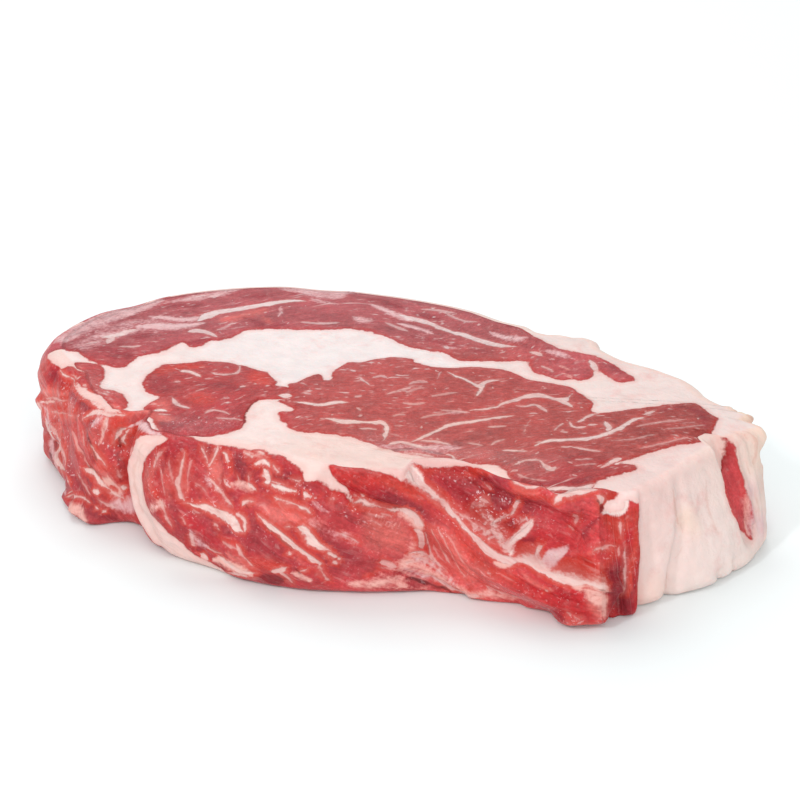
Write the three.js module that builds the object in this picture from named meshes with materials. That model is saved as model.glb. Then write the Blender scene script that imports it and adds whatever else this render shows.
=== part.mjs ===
// A raw, boneless rib steak: one thick slab of meat lying flat on its cut underside.
// Millimetres, +Z up, the longest way along X, the origin under the middle of the box.
// The rolled back and the fat corner lie to +X; the side where the ribs were is at -Y.
import * as THREE from 'three';

const THICKNESS = 36;          // cut thickness of the slab
const FOOT_ROUND = 4;          // radius of the edge round the underside
const EDGE_OUT = 0.3;          // part of the rim radius that stands outside the outline
const FLARE_POWER = 0.9;       // how the wall runs out from rim to foot
const TOP_MIDDLE = [-4, 8];    // where the rings of the two cut faces close
const BOX_MIDDLE = [-1, 2.44];   // middle of the box in the outline's own coordinates

const FRONT_COLUMNS = 108;     // columns along the uneven front, left end to right end
const BACK_COLUMNS = 42;       // columns along the plain back
const FRONT_LENGTH = 284;      // length of rim that counts as the front
const LOW_ROWS = 7;            // rows from the foot up to the guide line
const HIGH_ROWS = 9;           // rows from the guide line up to the rim
const HIGH_CROWDING = 1.3;     // above 1 the high rows crowd towards the guide line
const RIM_ROWS = 3;            // rows over the rounded rim
const RIM_START = 33;          // height where those rows begin
const FOOT_ROWS = [0, 0.3];    // heights of the rows over the round foot, in foot radii
const LOW_START = 0.7;         // height of the first low row, in foot radii
const GUIDE_PLAIN = 18;        // height of the guide line away from the strip
const TOP_RINGS = [0.06, 0.16, 0.32, 0.5, 0.68, 0.85];
const UNDER_RINGS = [0.2, 0.6];

const SWELL_HEIGHT = 0.7;      // gentle rise and fall of the cut top
const SWELL_LENGTH = 62;       // length of one rise and fall
const SWELL_SLANTS = [0.6, 0.4]; // how the two waves of the swell lean across each other
const SWELL_EDGE = 0.3;        // share of the face over which the swell fades to the rim

const REACH = 14;              // rim length over which the outward direction is evened out
const REACH_STEPS = 4;         // steps to each side within that length
const REACH_FADE = 0.45 * Math.PI; // angle whose cosine weighs the outermost step
const SHORT_RUN = 0.5;         // rim length to each side over which one direction is taken
const CURVE_STEPS = 24;        // steps of each stretch between stations when it is measured

// The rim, counter-clockwise from the left end along the front:
// x, y, how far the foot stands out past the rim, rim radius, swelling at half height.
const STATIONS = [
  [-107, 27.5, 0, 7, 0],
  [-102.5, 17.2, 1, 7, 0],
  [-97.2, 6.8, 2, 7, 0],
  [-92, -4.5, 3.5, 6, 0],
  [-85, -13.5, 4, 5, 0],
  [-77.5, -17.5, 0, 4, 0],
  [-71, -26, -1, 4, 2],
  [-62, -33.5, 3, 5, 3],
  [-47, -35.5, 10, 5, 3],
  [-37, -40.5, 11, 5, 3],
  [-26, -47.5, 8, 5, 3],
  [-13, -52, 5, 4, 2],
  [0.3, -51.5, 6, 3, 1],
  [11, -50.5, 7, 2, 0],
  [21, -52, 9, 2, 0],
  [33, -59, 6, 2, 0],
  [44.8, -63.5, 5, 2, 0],
  [55.9, -63.5, 4, 2, 0],
  [65, -63, 3, 2, 0],
  [73, -56, 6, 2, 1],
  [83.4, -44, 11, 2, 1],
  [93.5, -33, 12, 2, 1],
  [101.5, -24.5, 6, 3, -1],
  [102, -15, 5, 3, -1],
  [94, -8, 9, 3, 1],
  [85.5, 4, 10, 3, 2],
  [75, 14.5, 8, 3, 2],
  [65.5, 26, 5, 3, 2],
  [58.5, 36, 4, 3, 2],
  [45, 44.5, 4, 3, 2],
  [18, 63, 2, 3, 2],
  [-10, 74, 0, 3, 2],
  [-37.5, 79, 0, 3, 2],
  [-66, 74, -1, 3, 2],
  [-92, 59.5, -2, 4, 2],
  [-105.5, 41.5, -1, 6, 1],
];
// Line on the unrolled wall that the rows follow, so that an edge of the mesh lies on the
// crest of the strip: mm along the rim, mm above the underside.
const GUIDE = [[130, GUIDE_PLAIN], [148, 29], [156, 29], [163, 25.5], [171, 21.5], [180, 18.5],
  [190, 16], [200, 13], [207, 11.5], [212, 12], [226, GUIDE_PLAIN]];

// Folds, ridges and creases of the wall. Each is a line on the unrolled wall:
// [mm along the rim from the left end, mm above the underside], with the height at its
// two ends (below zero for a crease), its reach above and below the line, the share of
// that reach that stays at full height and the length of a cut end (0 for a soft end).
const FOLDS = [
  // crease between the left lobe and the front lobe, and the rolled edge beside it
  { line: [[57, 38], [60, 31], [57, 22], [56, 14], [60, 7], [65, 0]],
    heights: [-4.5, -3], reach: [4, 4], core: 0, cut: 0 },
  { line: [[68, 35], [62, 28], [61, 18], [62, 9], [70, 3]],
    heights: [1.8, 1.5], reach: [4.5, 4.5], core: 0.2, cut: 0 },
  // body of the front lobe and the grooves along its fat streaks
  { line: [[78, 18], [100, 16], [122, 14]], heights: [2, 2], reach: [14, 14], core: 0.2, cut: 0 },
  { line: [[82, 35], [81, 28], [85, 20], [96, 18], [106, 12]],
    heights: [-0.9, -0.9], reach: [3, 3], core: 0, cut: 0 },
  { line: [[104, 34], [110, 30], [122, 27], [131, 25]],
    heights: [-1, -1], reach: [3, 3], core: 0, cut: 0 },
  { line: [[108, 20], [118, 16], [126, 10], [130, 4]],
    heights: [-1, -0.8], reach: [3, 3], core: 0, cut: 0 },
  // valley between the front lobe and the strip, and the lip of the lobe above it
  { line: [[126, 33], [136, 28], [146, 24], [152, 19], [156, 12], [168, 6], [182, 2]],
    heights: [-3.2, -2], reach: [4, 4], core: 0, cut: 0 },
  { line: [[129, 29], [135, 27], [143, 24.6], [148, 23.5], [152, 19]],
    heights: [1.6, 1.6], reach: [1.6, 7], core: 0.2, cut: 0 },
  // the strip between two ribs: a ridge that falls from the rim to a cut end by the foot
  { line: [[136, 38], [147, 35], [155, 31], [163, 26], [171, 21.5], [180, 18.5], [190, 16],
      [200, 13], [206, 11]],
    heights: [0, 8.5], reach: [2.6, 15], core: 0.45, cut: 2.4 },
  { line: [[196, 0], [203, 0]], heights: [5.5, 2.6], reach: [5.5, 4], core: 0.3, cut: 0 },
  // hollow behind the strip
  { line: [[152, 35], [162, 31], [174, 27], [188, 25], [196, 24]],
    heights: [-5, -6], reach: [9, 6], core: 0.3, cut: 0 },
  // flap and upright block beyond the hollow
  { line: [[192, 35], [198, 27], [204, 15]], heights: [3, 3], reach: [5, 5], core: 0.1, cut: 0 },
  { line: [[207, 16], [207, 10], [207.5, 2]],
    heights: [-0.3, -2.6], reach: [2.4, 2.4], core: 0, cut: 0 },
  { line: [[210.5, 40], [210.5, 20], [209.5, -4]],
    heights: [1, 4.5], reach: [3.6, 6], core: 0.4, cut: 0 },
  // fat wall: a groove and two pillows
  { line: [[229, 33], [227, 20], [224, 10], [222, -2]],
    heights: [-0.8, -3], reach: [3.4, 3.4], core: 0, cut: 0 },
  { line: [[217, 5], [218, 12]], heights: [1.2, 0.5], reach: [6, 6], core: 0, cut: 0 },
  { line: [[234, 5], [238, 10]], heights: [1.5, 1], reach: [12, 12], core: 0, cut: 0 },
  // slit beside the outer fat flap, the flap and the notch in its top
  { line: [[252, 35], [251.5, 27], [252, 20], [254, 10]],
    heights: [-5, -2.5], reach: [4.4, 4.4], core: 0.4, cut: 0 },
  { line: [[264, 40], [264, 25], [263, 6]], heights: [2.5, 2], reach: [7, 7], core: 0.1, cut: 0 },
  { line: [[272, 31], [268, 29]], heights: [-3, -3], reach: [4, 4], core: 0, cut: 0 },
  // folds of the left lobe
  { line: [[49, 35], [45, 29], [44, 25], [48, 19]],
    heights: [1.4, 0.6], reach: [3, 3], core: 0, cut: 0 },
  { line: [[55, 30], [54, 25]], heights: [-2.5, -2.5], reach: [3.4, 3.4], core: 0, cut: 0 },
  { line: [[40, 20], [50, 13], [57, 7]], heights: [-1.4, -1.4], reach: [3.2, 3.2], core: 0, cut: 0 },
  { line: [[3, 21], [14, 19], [25, 17], [35, 11], [40, 4]],
    heights: [2, 1.4], reach: [3.2, 3.2], core: 0, cut: 0 },
  { line: [[8, 9], [20, 9], [36, 5]], heights: [-2.5, -2.5], reach: [5, 4.5], core: 0, cut: 0 },
  { line: [[20, 36], [28, 27], [30, 20]], heights: [-1.2, -1], reach: [3.2, 3.2], core: 0, cut: 0 },
  { line: [[33, 0], [44, 0]], heights: [2.5, 3], reach: [7, 4], core: 0.3, cut: 0 },
  // crevice by the foot of the front
  { line: [[146, 6], [159, 3], [166, 1]], heights: [-1.8, -1.8], reach: [3.2, 3.2], core: 0, cut: 0 },
  // lump, fold and shallow scallops of the plain back
  { line: [[308, 40], [314, 4]], heights: [3.2, 1.5], reach: [18, 18], core: 0.2, cut: 0 },
  { line: [[342, 40], [342, 20]], heights: [2.4, 1], reach: [5, 5], core: 0.3, cut: 0 },
  { line: [[357, 40], [357, 24]], heights: [-2.6, -1], reach: [7, 7], core: 0.2, cut: 0 },
  { line: [[372, 36], [366, 0]], heights: [-1.2, -1.8], reach: [12, 12], core: 0, cut: 0 },
  { line: [[436, 36], [442, 0]], heights: [-1.4, -1.4], reach: [14, 14], core: 0, cut: 0 },
  { line: [[500, 36], [496, 0]], heights: [-1.6, -1.2], reach: [12, 12], core: 0, cut: 0 },
];

const clamp01 = (value) => Math.min(Math.max(value, 0), 1);
const smooth01 = (value) => value * value * (3 - 2 * value);

function closedCurve(points) {
  const curve = new THREE.CatmullRomCurve3(points, true, 'catmullrom', 0.5);
  curve.arcLengthDivisions = STATIONS.length * CURVE_STEPS;
  return curve;
}

// The rim in plan, and its profile: foot, rim radius and swelling as one curve.
const rimCurve = closedCurve(STATIONS.map(([x, y]) => new THREE.Vector3(x, y, 0)));
const profileCurve = closedCurve(
  STATIONS.map(([, , flare, radius, belly]) => new THREE.Vector3(flare, radius, belly)),
);
const PERIMETER = rimCurve.getLength();

// Share of the way through the stations at a length along the rim.
function turnAt(length) {
  const wanted = ((length % PERIMETER) + PERIMETER) % PERIMETER;
  return rimCurve.getUtoTmapping(wanted / PERIMETER);
}

// Outward direction in plan, averaged along the rim so that it turns evenly.
function outward(length) {
  const sum = new THREE.Vector3();
  for (let i = -REACH_STEPS; i <= REACH_STEPS; i += 1) {
    const at = length + (i / REACH_STEPS) * REACH;
    const before = rimCurve.getPoint(turnAt(at - SHORT_RUN));
    const run = rimCurve.getPoint(turnAt(at + SHORT_RUN)).sub(before);
    const weight = Math.cos((i / REACH_STEPS) * REACH_FADE);
    sum.add(new THREE.Vector3(run.y, -run.x, 0).normalize().multiplyScalar(weight));
  }
  return sum.normalize();
}

// Height of one fold at a place on the unrolled wall.
function foldHeight(fold, length, height) {
  const { line, heights, reach, core, cut } = fold;
  const runs = line.slice(1).map((end, i) => Math.hypot(end[0] - line[i][0], end[1] - line[i][1]));
  const total = runs.reduce((sum, run) => sum + run, 0);
  let nearest = Infinity;
  let above = true;
  let along = 0;
  let past = 0;
  let done = 0;
  runs.forEach((run, i) => {
    const [startLength, startHeight] = line[i];
    const ux = (line[i + 1][0] - startLength) / run;
    const uz = (line[i + 1][1] - startHeight) / run;
    const px = length - startLength;
    const pz = height - startHeight;
    const free = px * ux + pz * uz;
    const held = Math.min(Math.max(free, 0), run);
    const distance = Math.hypot(px - held * ux, pz - held * uz);
    if (distance < nearest) {
      const across = ux * pz - uz * px;
      const beyond = i === runs.length - 1 ? free - run : 0;
      past = Math.max(beyond, 0);
      nearest = distance;
      above = across > 0;
      along = (done + held) / total;
      if (cut > 0 && past > 0) nearest = Math.abs(across);
    }
    done += run;
  });
  const width = above ? reach[0] : reach[1];
  const side = smooth01(clamp01((width - nearest) / (width * (1 - core))));
  const end = cut > 0 ? smooth01(clamp01(1 - past / cut)) : 1;
  return (heights[0] + (heights[1] - heights[0]) * along) * side * end;
}

// A place on the wall: length along the rim and height above the underside.
function wallPoint(length, height) {
  const turn = turnAt(length);
  const { x: flare, y: radius, z: belly } = profileCurve.getPoint(turn);
  const share = height / THICKNESS;
  const overRim = clamp01((height - THICKNESS + radius) / radius);
  const underFoot = clamp01((FOOT_ROUND - height) / FOOT_ROUND);
  let push = flare * (1 - share) ** FLARE_POWER + belly * 4 * share * (1 - share);
  FOLDS.forEach((fold) => { push += foldHeight(fold, length, height); });
  push += radius * (EDGE_OUT - 1 + Math.sqrt(1 - overRim ** 2));
  push -= FOOT_ROUND * (1 - Math.sqrt(1 - underFoot ** 2));
  const point = rimCurve.getPoint(turn).addScaledVector(outward(length), push);
  return point.set(point.x - BOX_MIDDLE[0], point.y - BOX_MIDDLE[1], height);
}

// Rim lengths of the columns: close together along the front, wider along the back.
function columnLengths() {
  const front = Array.from({ length: FRONT_COLUMNS }, (_, i) => (i / FRONT_COLUMNS) * FRONT_LENGTH);
  const back = Array.from({ length: BACK_COLUMNS }, (_, i) => (
    FRONT_LENGTH + (i / BACK_COLUMNS) * (PERIMETER - FRONT_LENGTH)));
  return [...front, ...back];
}

// Height of the guide line at a length along the rim.
function guideHeight(length) {
  const next = GUIDE.findIndex((point) => point[0] > length);
  if (next <= 0) return GUIDE_PLAIN;
  const [fromLength, fromHeight] = GUIDE[next - 1];
  const [toLength, toHeight] = GUIDE[next];
  const part = (length - fromLength) / (toLength - fromLength);
  return fromHeight + (toHeight - fromHeight) * part;
}

// Heights of one column's wall points from the underside up, closer together over the two
// round edges.
function rowHeights(length) {
  const lowest = LOW_START * FOOT_ROUND;
  const guide = guideHeight(length);
  const rows = FOOT_ROWS.map((share) => share * FOOT_ROUND);
  for (let i = 0; i < LOW_ROWS; i += 1) {
    rows.push(lowest + (i / LOW_ROWS) * (guide - lowest));
  }
  for (let i = 0; i <= HIGH_ROWS; i += 1) {
    rows.push(guide + (i / HIGH_ROWS) ** HIGH_CROWDING * (RIM_START - guide));
  }
  for (let i = 1; i <= RIM_ROWS; i += 1) {
    rows.push(RIM_START + (THICKNESS - RIM_START) * Math.sin((i / RIM_ROWS) * 0.5 * Math.PI));
  }
  return rows;
}

// Rise and fall of the cut top, nothing at the rim.
function swell(x, y, share) {
  const turns = 2 * Math.PI / SWELL_LENGTH;
  const wave = Math.sin((x + SWELL_SLANTS[0] * y) * turns)
    + Math.cos((y - SWELL_SLANTS[1] * x) * turns);
  return 0.5 * SWELL_HEIGHT * wave * smooth01(clamp01(share / SWELL_EDGE));
}

// One ring of a cut face, drawn in from the edge ring by a share of the way to its middle.
function faceRing(edge, share, raised) {
  const middleX = TOP_MIDDLE[0] - BOX_MIDDLE[0];
  const middleY = TOP_MIDDLE[1] - BOX_MIDDLE[1];
  return edge.map((point) => {
    const x = point.x + (middleX - point.x) * share;
    const y = point.y + (middleY - point.y) * share;
    return new THREE.Vector3(x, y, point.z + (raised ? swell(x, y, share) : 0));
  });
}

// All rings from the middle of the underside, up the wall, to the middle of the top.
function bodyRings() {
  const columns = columnLengths();
  const walls = columns.map((length) => (
    rowHeights(length).map((height) => wallPoint(length, height))));
  const wall = walls[0].map((_, row) => walls.map((column) => column[row]));
  const under = UNDER_RINGS.map((share) => faceRing(wall[0], share, false)).reverse();
  const top = TOP_RINGS.map((share) => faceRing(wall[wall.length - 1], share, true));
  return [...under, ...wall, ...top];
}

function bodyGeometry() {
  const rings = bodyRings();
  const columns = rings[0].length;
  const last = rings.length - 1;
  const centreX = TOP_MIDDLE[0] - BOX_MIDDLE[0];
  const centreY = TOP_MIDDLE[1] - BOX_MIDDLE[1];
  const points = rings.flat();
  const lowPole = points.push(new THREE.Vector3(centreX, centreY, 0)) - 1;
  const highPole = points.push(
    new THREE.Vector3(centreX, centreY, THICKNESS + swell(centreX, centreY, 1)),
  ) - 1;
  const faces = [];
  for (let j = 0; j < columns; j += 1) {
    const next = (j + 1) % columns;
    faces.push(lowPole, next, j);
    for (let i = 0; i < last; i += 1) {
      const a = i * columns + j;
      const b = i * columns + next;
      faces.push(a, b, b + columns, a, b + columns, a + columns);
    }
    faces.push(highPole, last * columns + j, last * columns + next);
  }
  const geometry = new THREE.BufferGeometry();
  geometry.setAttribute('position', new THREE.Float32BufferAttribute(
    points.flatMap((point) => [point.x, point.y, point.z]), 3,
  ));
  geometry.setIndex(faces);
  geometry.computeVertexNormals();
  return geometry;
}

function rawBeef() {
  return new THREE.MeshStandardMaterial({ color: 0xba5a58, roughness: 0.42, metalness: 0 });
}

const part = new THREE.Group();
const steak = new THREE.Mesh(bodyGeometry(), rawBeef());
steak.name = 'steak';
part.add(steak);

export default part;
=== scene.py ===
# %% [markdown]
# # A raw ribeye steak
#
# A thick slab of raw beef lies flat on its cut underside. What makes it look like beef is the
# map of its tissues: dark red muscles, cream fat seams between them, fine veins of fat inside
# them, and the ragged strips of rib meat along the front. The lesson makes one closed surface,
# writes the tissue map into the surface as attributes, and lets one material read that map.

import bpy
import numpy as np
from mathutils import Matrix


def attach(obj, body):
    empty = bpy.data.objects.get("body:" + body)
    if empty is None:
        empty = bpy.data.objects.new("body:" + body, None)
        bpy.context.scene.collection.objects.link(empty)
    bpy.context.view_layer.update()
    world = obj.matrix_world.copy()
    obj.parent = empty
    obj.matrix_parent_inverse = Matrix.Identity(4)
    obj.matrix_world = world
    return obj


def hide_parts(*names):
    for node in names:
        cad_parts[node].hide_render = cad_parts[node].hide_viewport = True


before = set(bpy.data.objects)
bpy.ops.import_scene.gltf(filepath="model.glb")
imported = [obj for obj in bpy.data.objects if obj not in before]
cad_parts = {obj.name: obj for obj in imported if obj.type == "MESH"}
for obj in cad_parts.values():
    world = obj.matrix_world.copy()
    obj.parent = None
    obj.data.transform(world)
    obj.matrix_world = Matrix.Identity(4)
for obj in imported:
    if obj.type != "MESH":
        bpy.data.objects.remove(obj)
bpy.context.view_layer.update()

MM = 0.001

# %% [markdown]
# ## The outline
#
# The slab is described by its rim: stations go round the upper edge, each with its place in
# plan, how far the foot stands out past the rim, how round the rim is and how much the wall
# swells at half height. A smooth closed curve through the stations gives all five at once.
# Lengths here are millimetres, because that is how meat is measured; they turn to metres last.

# %% Stations round the rim
THICKNESS = 36.0
FOOT_ROUND = 4.0
EDGE_OUT = 0.3
FLARE_POWER = 0.9
BOX_MIDDLE = np.array([-1.0, 2.44])
FACE_MIDDLE = np.array([-4.0, 8.0]) - BOX_MIDDLE

# x, y, foot past the rim, rim radius, swelling at half height
STATIONS = np.array([
    (-107, 27.5, 0, 7, 0), (-102.5, 17.2, 1, 7, 0), (-97.2, 6.8, 2, 7, 0), (-92, -4.5, 3.5, 6, 0),
    (-85, -13.5, 4, 5, 0), (-77.5, -17.5, 0, 4, 0), (-71, -26, -1, 4, 2), (-62, -33.5, 3, 5, 3),
    (-47, -35.5, 10, 5, 3), (-37, -40.5, 11, 5, 3), (-26, -47.5, 8, 5, 3), (-13, -52, 5, 4, 2),
    (0.3, -51.5, 6, 3, 1), (11, -50.5, 7, 2, 0), (21, -52, 9, 2, 0), (33, -59, 6, 2, 0),
    (44.8, -63.5, 5, 2, 0), (55.9, -63.5, 4, 2, 0), (65, -63, 3, 2, 0), (73, -56, 6, 2, 1),
    (83.4, -44, 11, 2, 1), (93.5, -33, 12, 2, 1), (101.5, -24.5, 6, 3, -1), (102, -15, 5, 3, -1),
    (94, -8, 9, 3, 1), (85.5, 4, 10, 3, 2), (75, 14.5, 8, 3, 2), (65.5, 26, 5, 3, 2),
    (58.5, 36, 4, 3, 2), (45, 44.5, 4, 3, 2), (18, 63, 2, 3, 2), (-10, 74, 0, 3, 2),
    (-37.5, 79, 0, 3, 2), (-66, 74, -1, 3, 2), (-92, 59.5, -2, 4, 2), (-105.5, 41.5, -1, 6, 1),
], float)


def through_points(before, start, end, after, part):
    """Smooth cubic from start to end. Its slope at each is half the run between its neighbours."""
    return 0.5 * (2 * start + (end - before) * part
                  + (2 * before - 5 * start + 4 * end - after) * part**2
                  + (3 * start - before - 3 * end + after) * part**3)


def closed_curve(turn):
    """All five station values at a station number, by the cubic through four neighbours."""
    whole = np.floor(turn).astype(int)
    neighbours = (STATIONS[(whole + k) % len(STATIONS)] for k in (-1, 0, 1, 2))
    return through_points(*neighbours, (turn - whole)[..., None])


# %% Length along the rim
CURVE_STEPS = 24
turns = np.linspace(0, len(STATIONS), len(STATIONS) * CURVE_STEPS + 1)
rim_steps = np.diff(closed_curve(turns)[:, :2], axis=0)
lengths = np.concatenate([[0], np.cumsum(np.hypot(rim_steps[:, 0], rim_steps[:, 1]))])
PERIMETER = lengths[-1]
print(f"rim is {PERIMETER:.1f} mm round")


def turn_at(length):
    """Station number at a length in millimetres along the rim."""
    return np.interp(np.mod(length, PERIMETER), lengths, turns)


HALF_STEP = 0.5
WEIGHT_FALL = 0.45


def outward(length, reach=14.0, steps=4):
    """Outward direction in plan: the normals over a stretch of rim, weighted by a cosine that
    falls to both sides, so that the direction turns evenly."""
    total = 0
    for k in range(-steps, steps + 1):
        at = length + k / steps * reach
        run = (closed_curve(turn_at(at + HALF_STEP)) - closed_curve(turn_at(at - HALF_STEP)))[..., :2]
        side = np.stack([run[..., 1], -run[..., 0]], -1)
        side /= np.linalg.norm(side, axis=-1, keepdims=True)
        total = total + side * np.cos(k / steps * WEIGHT_FALL * np.pi)
    return total / np.linalg.norm(total, axis=-1, keepdims=True)


print("outwards at the start of the rim:", np.round(outward(np.zeros(1))[0], 2))

# %% [markdown]
# ## Lines drawn on the meat
#
# Folds of the wall and veins of fat are both lines drawn on a surface, so one function does the
# measuring for both: how far each place is from a line, on which side, and how far along. The
# wall is drawn unrolled, as millimetres along the rim and millimetres above the underside. What is
# drawn stands in short tables, a row to a line, which are easier to change than nested lists.

# %% Measure from a line
FAR = 1e9


def measure_line(across, up, line):
    """Distance from places (across, up) to a line of points, the side (1 above or left of its
    run, -1 the other way), the share of the way along, how far past its end, and the distance
    square to the run."""
    line = np.asarray(line, float)
    runs = np.diff(line, axis=0)
    sizes = np.hypot(runs[:, 0], runs[:, 1])
    starts = np.concatenate([[0], np.cumsum(sizes)])
    nearest = np.full(across.shape, FAR)
    side, along, past = np.ones_like(nearest), np.zeros_like(nearest), np.zeros_like(nearest)
    square = np.zeros_like(nearest)
    for k, (run, size) in enumerate(zip(runs, sizes)):
        px, pz = across - line[k, 0], up - line[k, 1]
        free = (px * run[0] + pz * run[1]) / size
        held = np.clip(free, 0, size)
        distance = np.hypot(px - held * run[0] / size, pz - held * run[1] / size)
        cross = (run[0] * pz - run[1] * px) / size
        near = distance < nearest
        nearest = np.where(near, distance, nearest)
        square = np.where(near, np.abs(cross), square)
        side = np.where(near, np.where(cross > 0, 1.0, -1.0), side)
        along = np.where(near, (starts[k] + held) / starts[-1], along)
        beyond = free - size if k == len(sizes) - 1 else np.zeros_like(free)
        past = np.where(near, np.maximum(beyond, 0), past)
    return nearest, side, along, past, square


gap = measure_line(np.array([5.0]), np.array([3.0]), [(0, 0), (10, 0)])[0][0]
print("a place 3 mm beside a line measures", gap, "mm")

# %% Eased shares and boxes
def smooth01(share):
    """Eases a share from 0 to 1 with level ends."""
    share = np.clip(share, 0, 1)
    return share * share * (3 - 2 * share)


def near_box(across, up, line, margin):
    """Which places lie within a margin of the line's own box, so the rest can be skipped."""
    line = np.asarray(line, float)
    low, high = line.min(0) - margin, line.max(0) + margin
    return (across > low[0]) & (across < high[0]) & (up > low[1]) & (up < high[1])


print("half way is eased to", smooth01(0.5), "and a tenth to", round(float(smooth01(0.1)), 3))

# %% Read the drawn tables
def table(text):
    """Rows of a drawn table. Before the colon stand the row's words, after it the points: across,
    up, and where it changes the half width."""
    rows = []
    for row in text.strip().splitlines():
        head, _, points = row.partition(":")
        line, half = [], 0.0
        for point in points.split(","):
            across, up, *given = map(float, point.split())
            half = given[0] if given else half
            line.append((across, up, half))
        rows.append((head.split(), np.array(line)))
    return rows


print("first point of a drawn row:", table("fold: 1 2, 3 4")[0][1][0])

# %% [markdown]
# ## Folds of the wall
#
# The front was cut away from the ribs, so it isn't smooth: a lobe bulges out beside a deep
# crease, and a strip of rib meat runs down from the rim to a cut end by the foot, with a wet
# hollow behind it. Each fold is a ridge or a crease along a drawn line. The big ones are those of
# the CAD part. A second list adds the small ones that the eye reads as torn, wet meat.

# %% Folds
# height at each end, reach above and below, and where the fold has them the share kept at full
# height and the length of a cut end: the points of the line
FOLDS = table("""
-4.5 -3 4 4: 57 38, 60 31, 57 22, 56 14, 60 7, 65 0
1.8 1.5 4.5 4.5 0.2: 68 35, 62 28, 61 18, 62 9, 70 3
2 2 14 14 0.2: 78 18, 100 16, 122 14
-0.9 -0.9 3 3: 82 35, 81 28, 85 20, 96 18, 106 12
-1 -1 3 3: 104 34, 110 30, 122 27, 131 25
-1 -0.8 3 3: 108 20, 118 16, 126 10, 130 4
-3.2 -2 4 4: 126 33, 136 28, 146 24, 152 19, 156 12, 168 6, 182 2
0 8.5 2.6 15 0.45 2.4: 136 38, 147 35, 155 31, 163 26, 171 21.5, 180 18.5, 190 16, 200 13, 206 11
-5 -6 9 6 0.3: 152 35, 162 31, 174 27, 188 25, 196 24
3 3 5 5 0.1: 192 35, 198 27, 204 15
-0.3 -2.6 2.4 2.4: 207 16, 207 10, 207.5 2
1 4.5 3.6 6 0.4: 210.5 40, 210.5 20, 209.5 -4
-0.8 -3 3.4 3.4: 229 33, 227 20, 224 10, 222 -2
1.2 0.5 6 6: 217 5, 218 12
1.5 1 12 12: 234 5, 238 10
-5 -2.5 4.4 4.4 0.4: 252 35, 251.5 27, 252 20, 254 10
2.5 2 7 7 0.1: 264 40, 264 25, 263 6
-3 -3 4 4: 272 31, 268 29
1.4 0.6 3 3: 49 35, 45 29, 44 25, 48 19
-2.5 -2.5 3.4 3.4: 55 30, 54 25
-1.4 -1.4 3.2 3.2: 40 20, 50 13, 57 7
2 1.4 3.2 3.2: 3 21, 14 19, 25 17, 35 11, 40 4
-2.5 -2.5 5 4.5: 8 9, 20 9, 36 5
-1.2 -1 3.2 3.2: 20 36, 28 27, 30 20
-1.8 -1.8 3.2 3.2: 146 6, 159 3, 166 1
3.2 1.5 18 18 0.2: 308 40, 314 4
-1.2 -1.8 12 12: 372 36, 366 0
-1.4 -1.4 14 14: 436 36, 442 0
-1.6 -1.2 12 12: 500 36, 496 0
5.5 2.6 5.5 4 0.3: 196 0, 203 0
2.5 3 7 4 0.3: 33 0, 44 0
1.6 1.6 1.6 7 0.2: 129 29, 135 27, 143 24.6, 148 23.5, 152 19
2.4 1 5 5 0.3: 342 40, 342 20
-2.6 -1 7 7 0.2: 357 40, 357 24
""")
FINE_FOLDS = table("""
-0.7 -0.4 1.8 1.8: 92 33, 94 26, 101 22
-0.6 -0.5 1.8 1.8: 76 31, 76 23, 80 14
-0.8 -0.5 1.8 1.8: 119 21, 124 18, 130 13
-0.6 -0.4 1.6 1.6: 99 29, 108 27
-0.6 -0.5 1.5 1.5: 112 27, 118 26, 124 25
-0.5 -0.8 2.2 2.2: 151 29, 160 22, 170 16, 184 12, 198 8
-0.6 -0.4 1.6 1.6: 155 17, 163 12, 172 9
0.9 0.7 1.4 1.4: 180 31, 176 24, 180 20
0.8 0.6 1.4 1.4: 169 25, 175 23, 184 24
-0.6 -0.6 1.6 1.6: 160 33, 168 29, 176 28
-0.9 -0.6 1.4 1.4: 52 34, 50 26
0.8 0.5 1.3 1.3: 57 32, 53 27
-0.7 -0.6 2 2: 36 33, 38 22, 44 12
-0.8 -0.5 2 2: 11 34, 14 26, 22 20
-0.5 -0.7 1.6 1.6: 258 33, 259 20, 259 9
-0.8 -0.6 1.5 1.5: 269 30, 268 18, 266 8
-0.8 -0.7 1.5 1.5: 198 33, 201 24, 203 18
-0.5 -0.5 1.6 1.6: 136 10, 150 11, 160 8
-1.8 -0.6 1.6 1.6: 260.5 38, 261 27
2.6 0.8 2.4 2.4 0.2: 266.5 38, 266 31
-1.8 -0.8 1.5 1.5: 270.5 38, 270 26
1.4 0.5 1.6 1.6: 274 38, 273.5 28
-1.4 -0.5 1.5 1.5: 278 38, 277.5 30
1.4 0.4 1.8 1.8: 282 38, 281.5 32
-0.6 -0.7 1.3 1.3: 262 26, 262.5 12, 261 3
0.7 0.6 1.6 1.6: 266 24, 266 10
-0.35 -0.4 1.6 1.6: 216 31, 217.5 22, 217 12
-0.6 -0.4 2 2: 226 22, 231 19
-1.2 -1.2 2 2: 238 4, 240 0
-1 -1 2 2: 245 5, 246 0
""")

# %% Height of the folds
def fold_height(length, height, line, start, end, above, below, core=0.0, cut=0.0):
    """Height of one fold: the height along its line, times an eased fall over its reach to
    each side, times an eased fall past a cut end."""
    nearest, side, along, past, square = measure_line(length, height, line)
    if cut:
        nearest = np.where(past > 0, square, nearest)
    width = np.where(side > 0, above, below)
    fall = smooth01((width - nearest) / (width * (1 - core)))
    if cut:
        fall = fall * smooth01(1 - past / cut)
    return (start + (end - start) * along) * fall


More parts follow.
